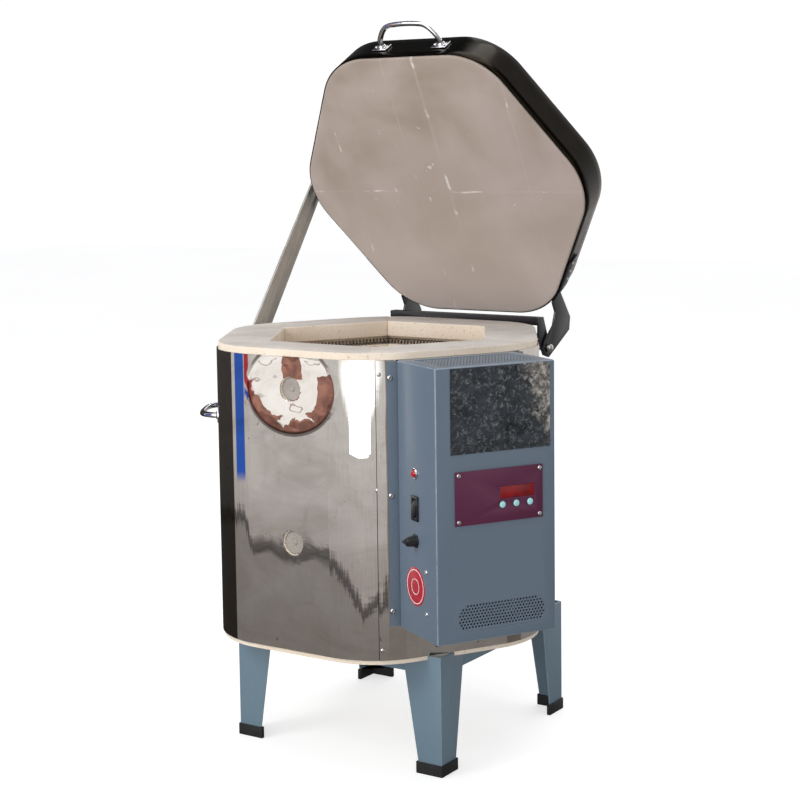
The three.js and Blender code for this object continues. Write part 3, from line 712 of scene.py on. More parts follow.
def slab_box(x0, x1, y0, y1, z0, z1, bevel, matrix=None):
    """A block with every edge rounded, as one part of a larger piece."""
    corners = [(x, y, z) for x in (x0, x1) for y in (y0, y1) for z in (z0, z1)]
    faces = [(0, 1, 3, 2), (4, 6, 7, 5), (0, 4, 5, 1), (2, 3, 7, 6), (0, 2, 6, 4), (1, 5, 7, 3)]
    made = build_mesh("block", corners, faces, matrix)
    apply_modifier(made, "BEVEL", width=bevel * MM, segments=3, limit_method="NONE")
    shade(made, 40)
    return made

# ------------------------------------------------------------------ brickwork

WALLS = ("front", "front_right", "back_right", "back", "back_left", "front_left")


def make_brickwork():
    for wall in WALLS:
        refined(f"wall_{wall}", "brick", "brick", "kiln_body", 1.6, 3)
    refined("floor_slab", "brick", "brick", "kiln_body", 1.8, 3)


def make_elements():
    """A coil of wire round the wall in each groove."""
    winding, pitch = 3.4, 5.6         # the coil's radius, and the length of each turn
    wire, around = 0.9, 5             # the wire's radius, and the flats round it
    corner = (CHAMBER_APOTHEM + 6.5) / COS30
    corners = [Vector((math.cos(math.radians(a)) * corner, math.sin(math.radians(a)) * corner, 0))
               for a in range(-120, 300, 60)]
    for index in (1, 2, 3):
        low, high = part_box(f"heating_element_{index}")
        level = (low.z + high.z) / 2 / MM
        path = []
        for a, b in zip(corners, corners[1:]):
            along = (b - a).normalized()
            out = Vector((along.y, -along.x, 0))
            turns = int((b - a).length / pitch)
            for s in range(turns * 8):
                angle = math.radians(45 * s)
                shift = out * math.cos(angle) * winding + Vector((0, 0, math.sin(angle) * winding))
                path.append(a + (b - a) * s / (turns * 8) + shift + Vector((0, 0, level)))
        vertices, count = [], len(path)
        for i, p in enumerate(path):
            ahead = (path[(i + 1) % count] - path[i - 1]).normalized()
            side = ahead.cross(Vector((0.1, 0.2, 1))).normalized()
            up = ahead.cross(side)
            for s in range(around):
                angle = 2 * math.pi * s / around
                vertices.append(p + (side * math.cos(angle) + up * math.sin(angle)) * wire)
        coil = build_mesh(f"heating_coil_{index}", vertices, strips(count, around, True, True))
        dress(coil, "heating_wire", "heating_wire", "kiln_body", f"heating_element_{index}")


def make_plugs():
    for name, level in zip(("upper", "lower"), PLUG_LEVELS):
        low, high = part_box(f"peephole_plug_{name}")
        face, back = -low.y / MM, -high.y / MM
        radius = 15.7
        profile = [(0, back), (10.5, back), (12.5, back + 2), (radius, face - 5), (radius, face - 1.6),
                   (radius - 0.5, face - 0.5), (radius - 1.6, face), (9.0, face - 0.5), (5.6, face - 1.6),
                   (4.2, face - 1.9), (3.6, face - 1.2), (2.6, face - 0.4), (0, face - 0.1)]
        turned = Matrix.Translation((PLUG_X, 0, level)) @ Matrix.Rotation(math.radians(90), 4, "X")
        plug = lathe(f"peephole_plug_{name}_look", profile, turned, 40, 30)
        dress(plug, "ceramic", "ceramic", f"peephole_plug_{name}", f"peephole_plug_{name}")


# ------------------------------------------------------------------ jacket


def ease(value):
    value = max(0.0, min(1.0, value))
    return value * value * (3 - 2 * value)


def dents(x, y, z):
    """How far the jacket's skin stands out of true at a point, millimetres.

    It buckles faintly all over, is dished round the lower bore, and round the upper one it
    leans back inside a raised ring, as thin sheet does where a hole was drawn through it.
    """
    wave = 0.13 * noise.noise(Vector((x / 80, y / 80, z / 105 + 3)))
    wave += 0.035 * noise.noise(Vector((x / 34, y / 34, z / 52 + 9)))
    box_side = facet(-1) @ Vector((x, y, 0))
    if box_side.y < -150 and abs(box_side.x) < 112:
        return wave * 0.5
    if y > -150:
        return wave * 1.4
    upper, lower = (math.hypot(x - PLUG_X, z - level) for level in PLUG_LEVELS)
    wave -= 0.05 * math.exp(-((lower - PLUG_BORE) / 15) ** 2)
    inside = ease((RING - math.hypot((x - PLUG_X) / RING_STRETCH, z - PLUG_LEVELS[0])) / 3.6)
    swirl = 0.10 * noise.noise(Vector((x / 19, 4.0, z / 22)))
    swirl += 0.012 * noise.noise(Vector((x / 8, 1.0, z / 9)))
    lean = 0.25 + (PLUG_LEVELS[0] - z) * 0.026 - 0.3 * ease((48 - upper) / 40) + swirl
    return max(-0.85, wave + inside * lean)


def jacket_levels():
    levels, z = [], JACKET_BOTTOM
    while z < JACKET_TOP:
        levels.append(z)
        near = min(abs(z - level) for level in PLUG_LEVELS)
        z += 1.7 if near < 64 and z > 200 else 2.4 if near < 26 else 6.0
    return [*levels, JACKET_TOP]


def make_jacket():
    ring = outline(BRICK_APOTHEM, BRICK_CORNER, [84, 14, 14, 14, 14, 14], 30)
    levels = jacket_levels()
    vertices = []
    for x, y, nx, ny, _, _ in ring:
        for z in levels:
            out = JACKET_OFFSET + dents(x, y, z)
            vertices.append((x + nx * out, y + ny * out, z))
    faces = [face for face in strips(len(ring), len(levels), True)
             if not all(in_bore(vertices[corner]) for corner in face)]
    jacket = build_mesh("outer_jacket_look", vertices, faces, smooth=60)
    work = bmesh.new()
    work.from_mesh(jacket.data)
    loose = [v for v in work.verts if not v.link_faces]
    bmesh.ops.delete(work, geom=loose, context="VERTS")
    round_off_holes(work)
    work.to_mesh(jacket.data)
    work.free()
    apply_modifier(jacket, "SOLIDIFY", thickness=JACKET_SHEET * MM, offset=-1.0)
    shade(jacket, 60)
    dress(jacket, "stainless", "stainless", "kiln_body", "outer_jacket")


def in_bore(point):
    x, y, z = point
    return y < -200 and any(math.hypot(x - PLUG_X, z - level) < SHEET_HOLE for level in PLUG_LEVELS)


def round_off_holes(work):
    """Draws the stepped edge of each hole in the jacket out to a true circle."""
    for vertex in {v for e in work.edges if e.is_boundary for v in e.verts}:
        height = vertex.co.z / MM
        if not JACKET_BOTTOM + 5 < height < JACKET_TOP - 5:
            continue
        level = min(PLUG_LEVELS, key=lambda at: abs(height - at))
        x, z = vertex.co.x / MM - PLUG_X, height - level
        stretch = SHEET_HOLE / math.hypot(x, z)
        vertex.co.x, vertex.co.z = (PLUG_X + x * stretch) * MM, (level + z * stretch) * MM


def skin(index, x, offset):
    """The place and outward direction on the body's rounded outline, at local x of a facet."""
    half = (BRICK_APOTHEM - BRICK_CORNER) * math.tan(math.radians(30))
    if abs(x) <= half:
        place, out = Vector((x, -BRICK_APOTHEM - offset, 0)), Vector((0, -1, 0))
    else:
        angle = (abs(x) - half) / (BRICK_CORNER + offset)
        out = Vector((math.copysign(math.sin(angle), x), -math.cos(angle), 0))
        centre = Vector((math.copysign(half, x), -(BRICK_APOTHEM - BRICK_CORNER), 0))
        place = centre + out * (BRICK_CORNER + offset)
    turn = facet(index).to_3x3()
    return turn @ place, turn @ out


def make_lap_seam():
    """The jacket's end, lapped over itself up the front right corner."""
    first, last = LAP_SEAM
    columns, vertices = 10, []
    levels = [JACKET_BOTTOM + 0.5, JACKET_BOTTOM + 1.5, *range(-50, 330, 12),
              JACKET_TOP - 1.5, JACKET_TOP - 0.5]
    for z in levels:
        for c in range(columns + 1):
            x = first + (last - first) * c / columns
            place, _ = skin(0, x, JACKET_OFFSET + 1.2 + 0.15 * noise.noise(Vector((x / 20, 0, z / 60))))
            vertices.append((place.x, place.y, z))
    seam = build_mesh("jacket_lap_seam", vertices, strips(len(levels), columns + 1), smooth=60)
    apply_modifier(seam, "SOLIDIFY", thickness=0.95 * MM, offset=1.0)
    shade(seam, 60)
    dress(seam, "stainless", "stainless", "kiln_body")


def make_lap_shadow_line():
    """A dark strip beside the lap: a painted shadow line along the lap's edge."""
    edge = []
    for x in (LAP_SEAM[0] - 1.3, LAP_SEAM[0] - 0.1):
        for z in (JACKET_BOTTOM + 1, JACKET_TOP - 1):
            place, _ = skin(0, x, JACKET_OFFSET + 0.37)
            edge.append((place.x, place.y, z))
    shadow_line = build_mesh("jacket_lap_painted_shadow", edge, [(0, 1, 3, 2)])
    apply_modifier(shadow_line, "SOLIDIFY", thickness=0.3 * MM, offset=1.0)
    dress(shadow_line, "dark_band", "dark_band", "kiln_body")


def make_jacket_screws():
    """Screws in the lap, in the back seam and round the foot: (facet, local x, height)."""
    edge = LAP_SEAM[0]
    lap = edge + 4
    places = []
    for index, x, z in ((0, edge, 167), (0, lap, 318), (0, lap, -44), (1, -32, -45), (3, -150, 300),
                        (3, -150, 140), (3, -150, -40), (5, -100, -45), (3, 20, -46), (2, 30, -46),
                        (4, 0, -46)):
        place, out = skin(index, x, JACKET_OFFSET + (1.2 if x == lap else 0.3))
        places.append((Vector((place.x, place.y, z)), out))
    screws("jacket_screws", "kiln_body", places, 3.2)


# ------------------------------------------------------------------ handles


def make_handle(name, body, matrix, distance, z, half_span, height):
    """A bow on two pads, standing on a face at y = -distance, with two screws in each pad."""
    face = -distance - 0.3
    outward = matrix.to_3x3() @ Vector((0, -1, 0))
    points = [(-half_span, face - 1, z), (-half_span + 1, face - height * 0.35, z),
              (-half_span * 0.72, face - height * 0.85, z), (-half_span * 0.35, face - height, z),
              (half_span * 0.35, face - height, z), (half_span * 0.72, face - height * 0.85, z),
              (half_span - 1, face - height * 0.35, z), (half_span, face - 1, z)]
    parts = [tube("bow", points, 4.1, 0.86, 16, matrix)]
    fixings = []
    for side in (-1, 1):
        middle = side * half_span
        parts.append(slab_box(middle - 12, middle + 12, face - 2.5, face, z - 9, z + 9, 0.9, matrix))
        foot = matrix @ upright((middle, face - 2.4, z), (0, -1, 0))
        parts.append(lathe("collar", [(0, 3.2), (5.2, 3.0), (6.2, 1.6), (6.6, 0)], foot, 24))
        for edge in (-1, 1):
            fixings.append((matrix @ Vector((middle + edge * 9, face - 2.5, z)), outward))
    dress(join(name + "_look", parts), "chrome", "chrome", body, name)
    screws(name + "_screws", body, fixings, 2.3)


def make_handles():
    make_handle("side_handle_left", "kiln_body", facet(5), BRICK_APOTHEM + JACKET_OFFSET, *SIDE_HANDLE)
    make_handle("lid_handle", "lid", LID_POSE, LID_APOTHEM + BAND_OUTER, *LID_HANDLE)


# ------------------------------------------------------------------ lid and hinge


def make_lid():
    ring = outline(LID_APOTHEM, LID_CORNER, 10, 18)
    rounded = [(-4.0, LID_BOTTOM), (-1.6, LID_BOTTOM + 0.4), (-0.5, LID_BOTTOM + 1.3),
               (0, LID_BOTTOM + 3.2), (0, LID_TOP - 2.5), (-0.7, LID_TOP - 0.7), (-2.5, LID_TOP)]

    def rough_edge(_, along, z):
        return 0.25 * noise.noise(Vector((along / 9, z / 14, 2.0))) - 0.15

    slab = sweep("lid_slab_look", ring, rounded, LID_POSE, closed=False, caps=True, lift=rough_edge)
    dress(slab, "lid_brick", "lid_brick", "lid", "lid_slab")
    top = LID_TOP + 1.5
    band = [(0.5, LID_BOTTOM + 2.5), (1.2, LID_BOTTOM + 2.3),
            *((BAND_OUTER, LID_BOTTOM + rise) for rise in (2.8, 16, 30, 46)),
            (BAND_OUTER, top - 2.2), (1.1, top - 0.7), (-0.6, top), (-9, top), (-9, top - 1.2),
            (0.5, top - 1.2)]

    def waves(k, along, z):
        still_at_corners = math.sin(math.pi * (along + 64) / 180) ** 2
        return 0.3 * noise.noise(Vector((along / 42 + 7 * k, z / 40, 5.0))) * still_at_corners

    ring = outline(LID_APOTHEM, LID_CORNER, 22, 18)
    dress(sweep("lid_band_look", ring, band, LID_POSE, lift=waves, smooth=50),
          "dark_band", "dark_band", "lid", "lid_band")


def make_hinge():
    for node, body in (("hinge_base", "kiln_body"), ("hinge_arm_right", "lid"), ("hinge_arm_left", "lid")):
        refined(node, "black_paint", "black_paint", body, 0.7, 3)
    refined("hinge_rod", "stainless", "stainless", "kiln_body", 0.9, 2)
    for node, body in (("arm_pivot_bolt", "lid"), ("arm_stop_bolt", "support_arm"),
                       ("arm_keeper", "arm_keeper"), ("keeper_rivet", "kiln_body")):
        refined(node, "screw", "stainless", body, 0.4, 2)
    refined("support_arm", "brushed_bar", "brushed_bar", "support_arm", 0.5, 2)
    turn = LID_POSE.to_3x3()
    out, along = Vector((COS30, 0.5, 0)), Vector((-0.5, COS30, 0))
    places = []
    for side in (1, -1):
        for t in STRAP_SCREWS:
            place = out * (LID_APOTHEM + STRAP_FACE) + along * t + Vector((0, 0, RIM + 22))
            flip = Vector((side, 1, 1))
            places.append((LID_POSE @ (place * flip), turn @ (out * flip)))
    screws("hinge_strap_screws", "lid", places, 3.4)
    dome = [(0, 2.6), (3.6, 2.4), (5.4, 1.2), (6.4, -0.6), (6.4, -3.2), (4.1, -3.2)]
    caps = [lathe("cap", dome, upright((side * HINGE_ROD_HALF, HINGE.y, HINGE.z), (side, 0, 0)), 24)
            for side in (1, -1)]
    dress(join("hinge_rod_caps", caps), "screw", "stainless", "kiln_body")


# ------------------------------------------------------------------ control box

AT_BOX = facet(1)


def on_box(place, outward=(0, -1, 0)):
    return AT_BOX @ Vector(place), AT_BOX.to_3x3() @ Vector(outward)


def box_spot(place, outward):
    return AT_BOX @ upright(place, outward)


def oval_points(x, z, half_width, radius, steps=16):
    straight = half_width - radius
    points = []
    for centre, first in ((x + straight, -90), (x - straight, 90)):
        for s in range(steps + 1):
            angle = math.radians(first + 180 * s / steps)
            points.append((centre + radius * math.cos(angle), z + radius * math.sin(angle)))
    return points


def extruded(points, y0, y1):
    """A prism over (x, z) points, between two y planes."""
    count = len(points)
    vertices = [(x, y0, z) for x, z in points] + [(x, y1, z) for x, z in points]
    faces = [list(range(count)), list(range(count, 2 * count))[::-1]]
    for i in range(count):
        j = (i + 1) % count
        faces.append((i, i + count, j + count, j))
    return build_mesh("tool", vertices, faces)


def cut_away(made, tools, operation="DIFFERENCE"):
    for tool in tools:
        bpy.context.view_layer.update()
        apply_modifier(made, "BOOLEAN", object=tool, operation=operation, solver="EXACT")
        bpy.data.objects.remove(tool)


def drill(start, axis, radius):
    """A 12 mm long rod to cut a round hole with."""
    return lathe("tool", [(0, 0), (radius, 0), (radius, 12), (0, 12)], upright(start, axis), 28)


def make_cover():
    """A folded sheet cover: open at the back, with its corners rounded and its cut-outs punched."""
    corners = [(x, y, z) for x in (-BOX_HALF, BOX_HALF) for y in (-BOX_FRONT, -BOX_BACK)
               for z in (BOX_BOTTOM, BOX_TOP)]
    faces = [(0, 1, 5, 4), (0, 2, 3, 1), (4, 5, 7, 6), (1, 3, 7, 5), (0, 4, 6, 2)]
    cover = build_mesh("box_cover_look", corners, faces)
    work = bmesh.new()
    work.from_mesh(cover.data)
    folds = [e for e in work.edges if not e.is_boundary]
    bmesh.ops.bevel(work, geom=folds, offset=2.6 * MM, segments=4, affect="EDGES", profile=0.5)
    work.to_mesh(cover.data)
    work.free()
    apply_modifier(cover, "SOLIDIFY", thickness=1.5 * MM, offset=-1.0)
    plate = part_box("controller_faceplate")
    low, high = plate[0].z / MM + 4, plate[1].z / MM - 4
    tools = [
        slab_box(*FACEPLATE_WINDOW, -BOX_FRONT - 5, -BOX_FRONT + 5, low, high, 0.5),
        slab_box(-TOP_VENT_HALF, TOP_VENT_HALF, -BOX_FRONT + TOP_VENT_MARGIN, -BOX_BACK - TOP_VENT_MARGIN,
                 BOX_TOP - 5, BOX_TOP + 5, 0.5),
        extruded(oval_points(*VENT), -BOX_FRONT - 5, -BOX_FRONT + 5),
        drill((-BOX_HALF - 5, *LAMP), (1, 0, 0), 5.4),
        slab_box(-100, -80, SWITCH[0] - 7, SWITCH[0] + 7, SWITCH[1] - 13.8, SWITCH[1] + 13.8, 0.4),
        drill((-BOX_HALF - 5, *FUSE), (1, 0, 0), 6.4),
        drill((*GLAND, BOX_BOTTOM - 5), (0, 0, 1), 8.4),
    ]
    cut_away(cover, tools)
    cover.data.transform(AT_BOX)
    shade(cover, 35)
    dress(cover, "blue_grey_paint", "blue_grey_paint", "kiln_body", "box_cover")


def perforated(name, spans, holes, pitch, hole, thickness):
    """A sheet of hexagonal cells in the X-Z plane; `holes(x, z)` says which cells are pierced."""
    x0, x1, z0, z1 = spans
    vertices, faces = [], []
    rise = pitch * COS30
    reach = pitch / 2 / COS30
    rows = int((z1 - z0) / rise) + 1
    columns = int((x1 - x0) / pitch) + 1
    for r in range(rows):
        for c in range(columns):
            cx, cz = x0 + (c + 0.5 * (r % 2)) * pitch, z0 + r * rise
            pierced = holes(cx, cz)
            base = len(vertices)
            for s in range(12):
                angle = math.radians(30 * s)
                far = reach if s % 2 else pitch / 2
                vertices.append((cx + far * math.cos(angle), 0, cz + far * math.sin(angle)))
            if not pierced:
                faces.append([base + s for s in range(12)])
                continue
            for s in range(12):
                angle = math.radians(30 * s)
                vertices.append((cx + hole * math.cos(angle), 0, cz + hole * math.sin(angle)))
            for s in range(12):
                t = (s + 1) % 12
                faces.append((base + s, base + t, base + 12 + t, base + 12 + s))
    made = build_mesh(name, vertices, faces)
    apply_modifier(made, "SOLIDIFY", thickness=thickness * MM, offset=0.0)
    return made


def make_vents():
    cx, cz, half, radius = VENT

    def in_oval(x, z, margin):
        straight = half - radius
        return math.hypot(max(0.0, abs(x - cx) - straight), z - cz) < radius - margin

    front = perforated("front_vent_screen_look", (cx - 72, cx + 72, cz - 24, cz + 24),
                       lambda x, z: in_oval(x, z, 1.4), 4.5, 1.45, 1.2)
    front.data.transform(Matrix.Translation(Vector((0, -BOX_FRONT + 0.85, 0)) * MM))
    trim = extruded(oval_points(cx, cz, half - 0.15, radius - 0.15), -BOX_FRONT - 5, -BOX_FRONT + 5)
    cut_away(front, [trim], "INTERSECT")
    front.data.transform(AT_BOX)
    shade(front, 35)
    dress(front, "blue_grey_paint", "blue_grey_paint", "kiln_body", "front_vent_screen")
    depth0, depth1 = BOX_BACK + TOP_VENT_MARGIN, BOX_FRONT - TOP_VENT_MARGIN
    top = perforated("top_vent_screen_look", (-TOP_VENT_HALF, TOP_VENT_HALF, depth0, depth1),
                     lambda x, d: abs(x) < 66 and depth0 + 3 < d < depth1 - 3, 4.6, 1.5, 1.0)
    top.data.transform(Matrix(((1, 0, 0, 0), (0, 0, -1, 0), (0, 1, 0, 0), (0, 0, 0, 1))))
    top.data.transform(Matrix.Translation(Vector((0, 0, BOX_TOP - 1.0)) * MM))
    trim = slab_box(-69.8, 69.8, -depth1 + 0.2, -depth0 - 0.2, BOX_TOP - 8, BOX_TOP + 8, 0.3)
    cut_away(top, [trim], "INTERSECT")
    top.data.transform(AT_BOX)
    shade(top, 35)
    dress(top, "blue_grey_paint", "blue_grey_paint", "kiln_body", "top_vent_screen")


def make_label():
    """The blank plate on the box's front, slightly cockled as a stuck-on foil is."""
    x0, x1, z0, z1 = LABEL
    nx, nz = 48, 36
    vertices = []
    for i in range(nx + 1):
        for j in range(nz + 1):
            x, z = x0 + (x1 - x0) * i / nx, z0 + (z1 - z0) * j / nz
            rim = min(i, nx - i, j, nz - j) / 4
            lift = 0.22 * noise.noise(Vector((x / 13, z / 9, 1.0))) * min(1.0, rim)
            vertices.append((x, -BOX_FRONT - 0.65 + lift, z))
    label = build_mesh("blank_nameplate_look", vertices, strips(nx + 1, nz + 1), AT_BOX, 60)
    apply_modifier(label, "SOLIDIFY", thickness=0.25 * MM, offset=-1.0)
    shade(label, 60)
    dress(label, "label", "label", "kiln_body", "blank_nameplate")


def make_controller():
    refined("controller_faceplate", "maroon_panel", "maroon_panel", "kiln_body", 0.45, 3)
    refined("display_window", "red_lens", "red_lens", "kiln_body", 0.5, 3)
    front = -BOX_FRONT - 0.3
    for index, x in enumerate(BUTTONS_X, 1):
        profile = [(0, 3.4), (2.4, 3.3), (3.6, 2.9), (4.2, 2.2), (4.4, 1.2), (4.4, -3.0), (0, -3.0)]
        button = lathe(f"button_{index}_look", profile, box_spot((x, front, BUTTONS_Z), (0, -1, 0)), 28)
        dress(button, "cyan_button", "cyan_button", f"button_{index}", f"button_{index}")
    across, up = FACEPLATE_SCREWS
    corners = [on_box((x, front - 2.0, z)) for x in across for z in up]
    screws("faceplate_screws", "kiln_body", corners, 2.9)


def make_side_panel():
    side = -BOX_HALF - 0.3
    left = (-1, 0, 0)
    lamp = box_spot((side, *LAMP), left)
    profile = [(0, 5.0), (2.2, 4.7), (3.9, 3.7), (5.0, 2.2), (5.3, 0.6), (5.0, -2.0), (0, -11)]
    dome = lathe("pilot_lamp_look", profile, lamp, 12, 15)
    dress(dome, "lamp", "red_lens", "kiln_body", "pilot_lamp")
    ring = lathe("pilot_lamp_ring", [(5.4, 0.0), (5.5, 1.6), (6.2, 2.0), (7.0, 1.3), (7.2, 0.0)], lamp, 32)
    dress(ring, "chrome", "chrome", "kiln_body")
    refined("switch_bezel", "black_plastic", "black_plastic", "kiln_body", 0.5, 3)
    refined("switch_rocker", "black_plastic", "black_plastic", "switch_rocker", 0.7, 3)
    holder = box_spot((side, *FUSE), left)
    profile = [(0, 2.2), (8.0, 2.2), (9.1, 1.7), (9.4, 0.9), (9.4, 0.0), (6.0, 0.0), (6.0, -28), (0, -28)]
    base = lathe("fuse_holder_look", profile, holder, 6, 25)
    dress(base, "black_plastic", "black_plastic", "kiln_body", "fuse_holder")
    make_fuse_cap(holder)
    screws("side_panel_screws", "kiln_body", [on_box((-BOX_HALF, -297, z), left) for z in (75, 21)], 3.0)


def make_flange_screws():
    flange = []
    for x in (-95.5, 95.5):
        for z in (313, 160, 8):
            place, out = skin(1, x, 4.1)
            flange.append((Vector((place.x, place.y, z)), out))
    screws("flange_screws", "kiln_body", flange, 3.8)


def make_badge():
    """A plain round plate with two rings, low on the box's left side."""
    badge = box_spot((-BOX_HALF, *BADGE), (-1, 0, 0))
    disc = lathe("round_badge", [(0, 0.7), (24.2, 0.7), (24.9, 0.5), (25.1, 0.05)], badge, 64)
    dress(disc, "badge", "red_lens", "kiln_body")
    rings = [lathe("ring", [(r0, 0.7), (r0 + 0.1, 0.85), (r1 - 0.1, 0.85), (r1, 0.7)], badge, 64)
             for r0, r1 in BADGE_RINGS]
    dress(join("round_badge_rings", rings), "badge_white", "cyan_button", "kiln_body")


def make_fuse_cap(holder):
    """A fluted cap with a bar across its end, turned on the same axis as its holder."""
    steps, flutes = 72, 12
    profile = [(0, 14.0), (4.6, 14.0), (5.6, 13.2), (5.9, 12.0), (6.8, 4.6), (7.0, 2.8), (0, 2.8)]
    vertices = []
    for s in range(steps):
        angle = 2 * math.pi * s / steps
        for r, h in profile:
            flute = 0.5 * (0.5 + 0.5 * math.cos(flutes * angle)) if 3 < r and 3 < h < 13.5 else 0
            vertices.append(((r - flute) * math.cos(angle), (r - flute) * math.sin(angle), h))
    body = build_mesh("cap", vertices, strips(steps, len(profile), True), holder, 50)
    bar = slab_box(-6, 6, -1.6, 1.6, 13.2, 17.0, 0.7, holder)
    dress(join("fuse_cap_look", [body, bar]), "black_plastic", "black_plastic", "fuse_cap", "fuse_cap")


# ------------------------------------------------------------------ stand


def make_stand():
    for corner in ("front_left", "front_right", "back_right", "back_left"):
        refined(f"leg_{corner}", "leg_paint", "blue_grey_paint", "kiln_body", 1.1, 3)
        refined(f"boot_{corner}", "rubber", "rubber", "kiln_body", 1.0, 3)
    for side in ("front", "right", "back", "left"):
        refined(f"stand_rail_{side}", "leg_paint", "blue_grey_paint", "kiln_body", 0.6, 2)


def make_hidden():
    """The pieces kept as CAD shapes still get their finish."""
    slots = {row["node"]: row["material_slot"] for row in frame["record"]["subparts"]}
    for name, node in frame["nodes"].items():
        slot = slots[name]
        node.data.materials.clear()
        node.data.materials.append(LOOKS[slot])


# ------------------------------------------------------------------ studio


def make_floor():
    """A pale floor: bright to the camera, but only a dim bounce on the object."""
    size = 9000.0
    corners = [(x, y, FLOOR) for x, y in ((-size, -size), (size, -size), (size, size), (-size, size))]
    floor = build_mesh("studio_floor", corners, [(0, 1, 2, 3)])
    look = Look("pale_floor", 0.9)
    pale = look.ramp(look.noise(0.8, 3.0), (0.3, 0.90), (0.7, 0.92))
    look.colour(look.mix(0.5, pale, (0.1, 0.1, 0.1)))
    seen = look.nodes.new("ShaderNodeLightPath").outputs["Is Camera Ray"]
    look.glow(pale, look.times(seen, 0.72))
    floor.data.materials.append(look.material)
    floor.visible_glossy = False


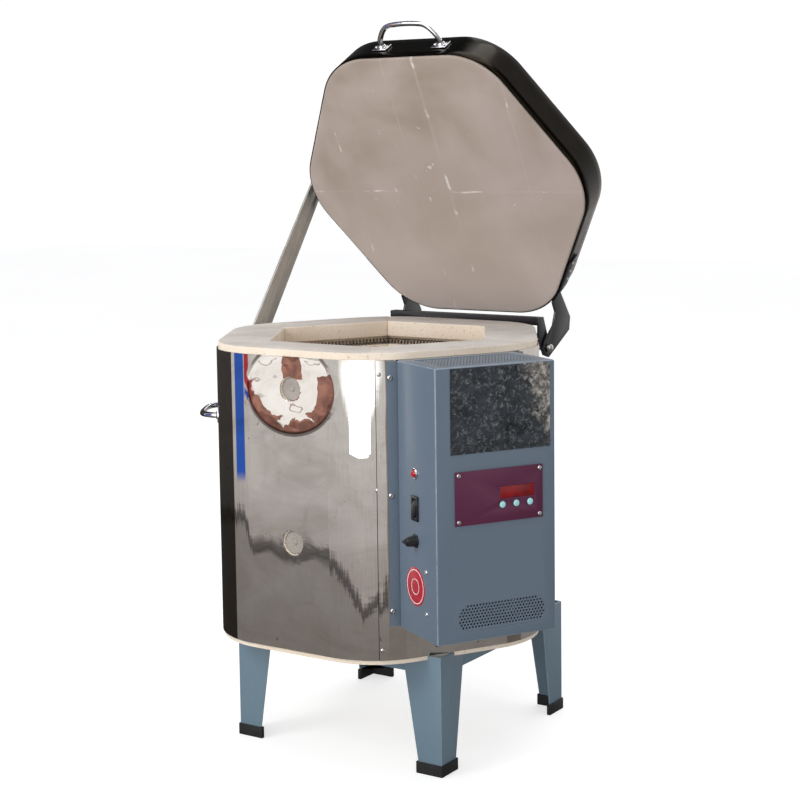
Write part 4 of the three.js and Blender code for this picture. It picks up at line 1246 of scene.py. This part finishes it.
def make_world():
    """Pale all round, but polished metal sees a studio: dark side, white screen, grey floor."""
    world = bpy.data.worlds.new("studio")
    bpy.context.scene.world = world
    world.use_nodes = True
    tree = world.node_tree
    look = Nodes(tree, "Generated")
    plain = tree.nodes["Background"]
    plain.inputs["Color"].default_value = (0.96, 0.97, 1.0, 1)
    plain.inputs["Strength"].default_value = 0.62
    x, y, z = look.split(look.coords)
    heading = look.times(look.math("ARCTAN2", x, look.times(y, -1.0)), 180 / math.pi)
    turn = look.plus(look.over(heading, 360.0), 0.5)
    horizon = look.ramp(turn, (0.361, 0.206), (0.397, 0.224), (0.405, 0.238), (0.415, 0.236),
                        (0.5, 0.25), (0.536, 0.262), (0.628, 0.252), (0.80, 0.24))
    stir = look.times(look.minus(look.noise(26.0, 3.0), 0.5), 0.016)
    height = look.plus(look.plus(look.plus(z, horizon), stir), 0.3)
    ground = look.ramp(height, (0.0, srgb(120, 116, 114)), (0.22, srgb(132, 128, 126)),
                       (0.2958, srgb(150, 146, 144)), (0.2973, srgb(30, 27, 29)),
                       (0.3003, srgb(32, 29, 30)), (0.3018, srgb(178, 172, 170)),
                       (0.34, srgb(200, 195, 193)), (0.38, srgb(214, 210, 208)),
                       (0.45, srgb(232, 229, 227)), (0.8, srgb(250, 250, 250)))
    mottle = look.ramp(look.noise(60.0, 5.0, 0.65, 0.5), (0.4, 0.0), (0.7, 0.35))
    ground = look.mix(mottle, ground, look.mix(0.5, ground, (0.12, 0.11, 0.11)))

    def window(value, low, high, soft):
        rise = look.over(look.minus(value, low), soft, True)
        fall = look.over(look.minus(high, value), soft, True)
        return look.times(rise, fall)

    ahead = window(heading, -48, -22, 2)
    ceiling = look.times(window(z, -0.1135, 0.9, 0.003), ahead)
    ground = look.mix(ceiling, ground, (1.15, 1.13, 1.1))
    beam = look.times(window(z, -0.083, -0.079, 0.0012), ahead)
    ground = look.mix(look.times(beam, 0.8), ground, srgb(176, 150, 142))
    spread = look.times(look.size(look.minus(heading, 14.0)), 0.0011)
    taper = look.minus(look.plus(z, stir), spread)
    screen = look.times(window(heading, -18, 46, 8), window(taper, -0.176, 0.9, 0.008))
    ground = look.mix(screen, ground, (1.6, 1.6, 1.6))
    for low, high, foot, colour in ((-150, -71, -0.6, srgb(30, 27, 25)),
                                    (-65, -46, -0.19, srgb(10, 84, 190)),
                                    (-46, -38, -0.150, srgb(176, 34, 50)),
                                    (48, 75, -0.6, srgb(136, 131, 127)),
                                    (100, 128, -0.6, srgb(104, 98, 94))):
        stripe = look.times(window(heading, low, high, 1.2), window(z, foot, 0.9, 0.006))
        ground = look.mix(look.times(stripe, 0.94), ground, colour)
    seen = tree.nodes.new("ShaderNodeBackground")
    seen.inputs["Strength"].default_value = 1.0
    tree.links.new(ground, seen.inputs["Color"])
    backdrop = tree.nodes.new("ShaderNodeBackground")
    backdrop.inputs["Color"].default_value = (1, 1, 1, 1)
    backdrop.inputs["Strength"].default_value = 1.02
    path = tree.nodes.new("ShaderNodeLightPath")
    shiny, direct = tree.nodes.new("ShaderNodeMixShader"), tree.nodes.new("ShaderNodeMixShader")
    tree.links.new(path.outputs["Is Glossy Ray"], shiny.inputs[0])
    tree.links.new(plain.outputs[0], shiny.inputs[1])
    tree.links.new(seen.outputs[0], shiny.inputs[2])
    tree.links.new(path.outputs["Is Camera Ray"], direct.inputs[0])
    tree.links.new(shiny.outputs[0], direct.inputs[1])
    tree.links.new(backdrop.outputs[0], direct.inputs[2])
    tree.links.new(direct.outputs[0], tree.nodes["World Output"].inputs["Surface"])


def make_lights():
    target = Vector((0, 0, 0.25))
    for name, place, size, power in (("key", (-1.2, -2.7, 2.3), 1.4, 42),
                                     ("fill", (0.7, -2.9, 0.45), 1.5, 24),
                                     ("top", (0.3, 0.4, 3.2), 1.8, 26),
                                     ("back", (-0.6, 3.0, 1.8), 1.6, 18)):
        light = bpy.data.lights.new(name, "AREA")
        light.size, light.energy = size, power
        made = placed(name, light)
        made.location = place
        made.rotation_euler = (target - Vector(place)).to_track_quat("-Z", "Y").to_euler()


def make_camera():
    """Stands to the right of the front, a little over the rim, with a long lens that is shifted down."""
    heading, height, distance = math.radians(33.82), math.radians(6.24), 2490.5
    pitch, roll = math.radians(6.18), math.radians(-0.83)
    back = Vector((math.sin(heading) * math.cos(height), -math.cos(heading) * math.cos(height),
                   math.sin(height)))
    forward = Vector((-math.sin(heading) * math.cos(pitch), math.cos(heading) * math.cos(pitch),
                      -math.sin(pitch)))
    right = Vector((math.cos(heading), math.sin(heading), 0))
    aim = Matrix((right, right.cross(forward), -forward)).transposed().to_4x4()
    data = bpy.data.cameras.new("camera")
    data.sensor_width, data.lens = 36.0, 79.4385
    data.shift_x, data.shift_y = 0.02481, -0.086
    data.clip_start, data.clip_end = 0.05, 60.0
    camera = placed("camera", data)
    station = Vector((0, 0, RIM)) + back * distance
    camera.matrix_world = Matrix.Translation(station * MM) @ aim @ Matrix.Rotation(roll, 4, "Z")
    bpy.context.scene.camera = camera


# ------------------------------------------------------------------ the scene

make_hidden()
make_brickwork()
make_elements()
make_plugs()
make_jacket()
make_lap_seam()
make_lap_shadow_line()
make_jacket_screws()
make_handles()
make_lid()
make_hinge()
make_cover()
make_vents()
make_label()
make_controller()
make_side_panel()
make_flange_screws()
make_badge()
refined("box_back_plate", "blue_grey_paint", "blue_grey_paint", "kiln_body", 0.6, 3)
make_stand()
make_floor()
make_world()
make_lights()
make_camera()
bpy.context.scene.view_settings.view_transform = "Standard"
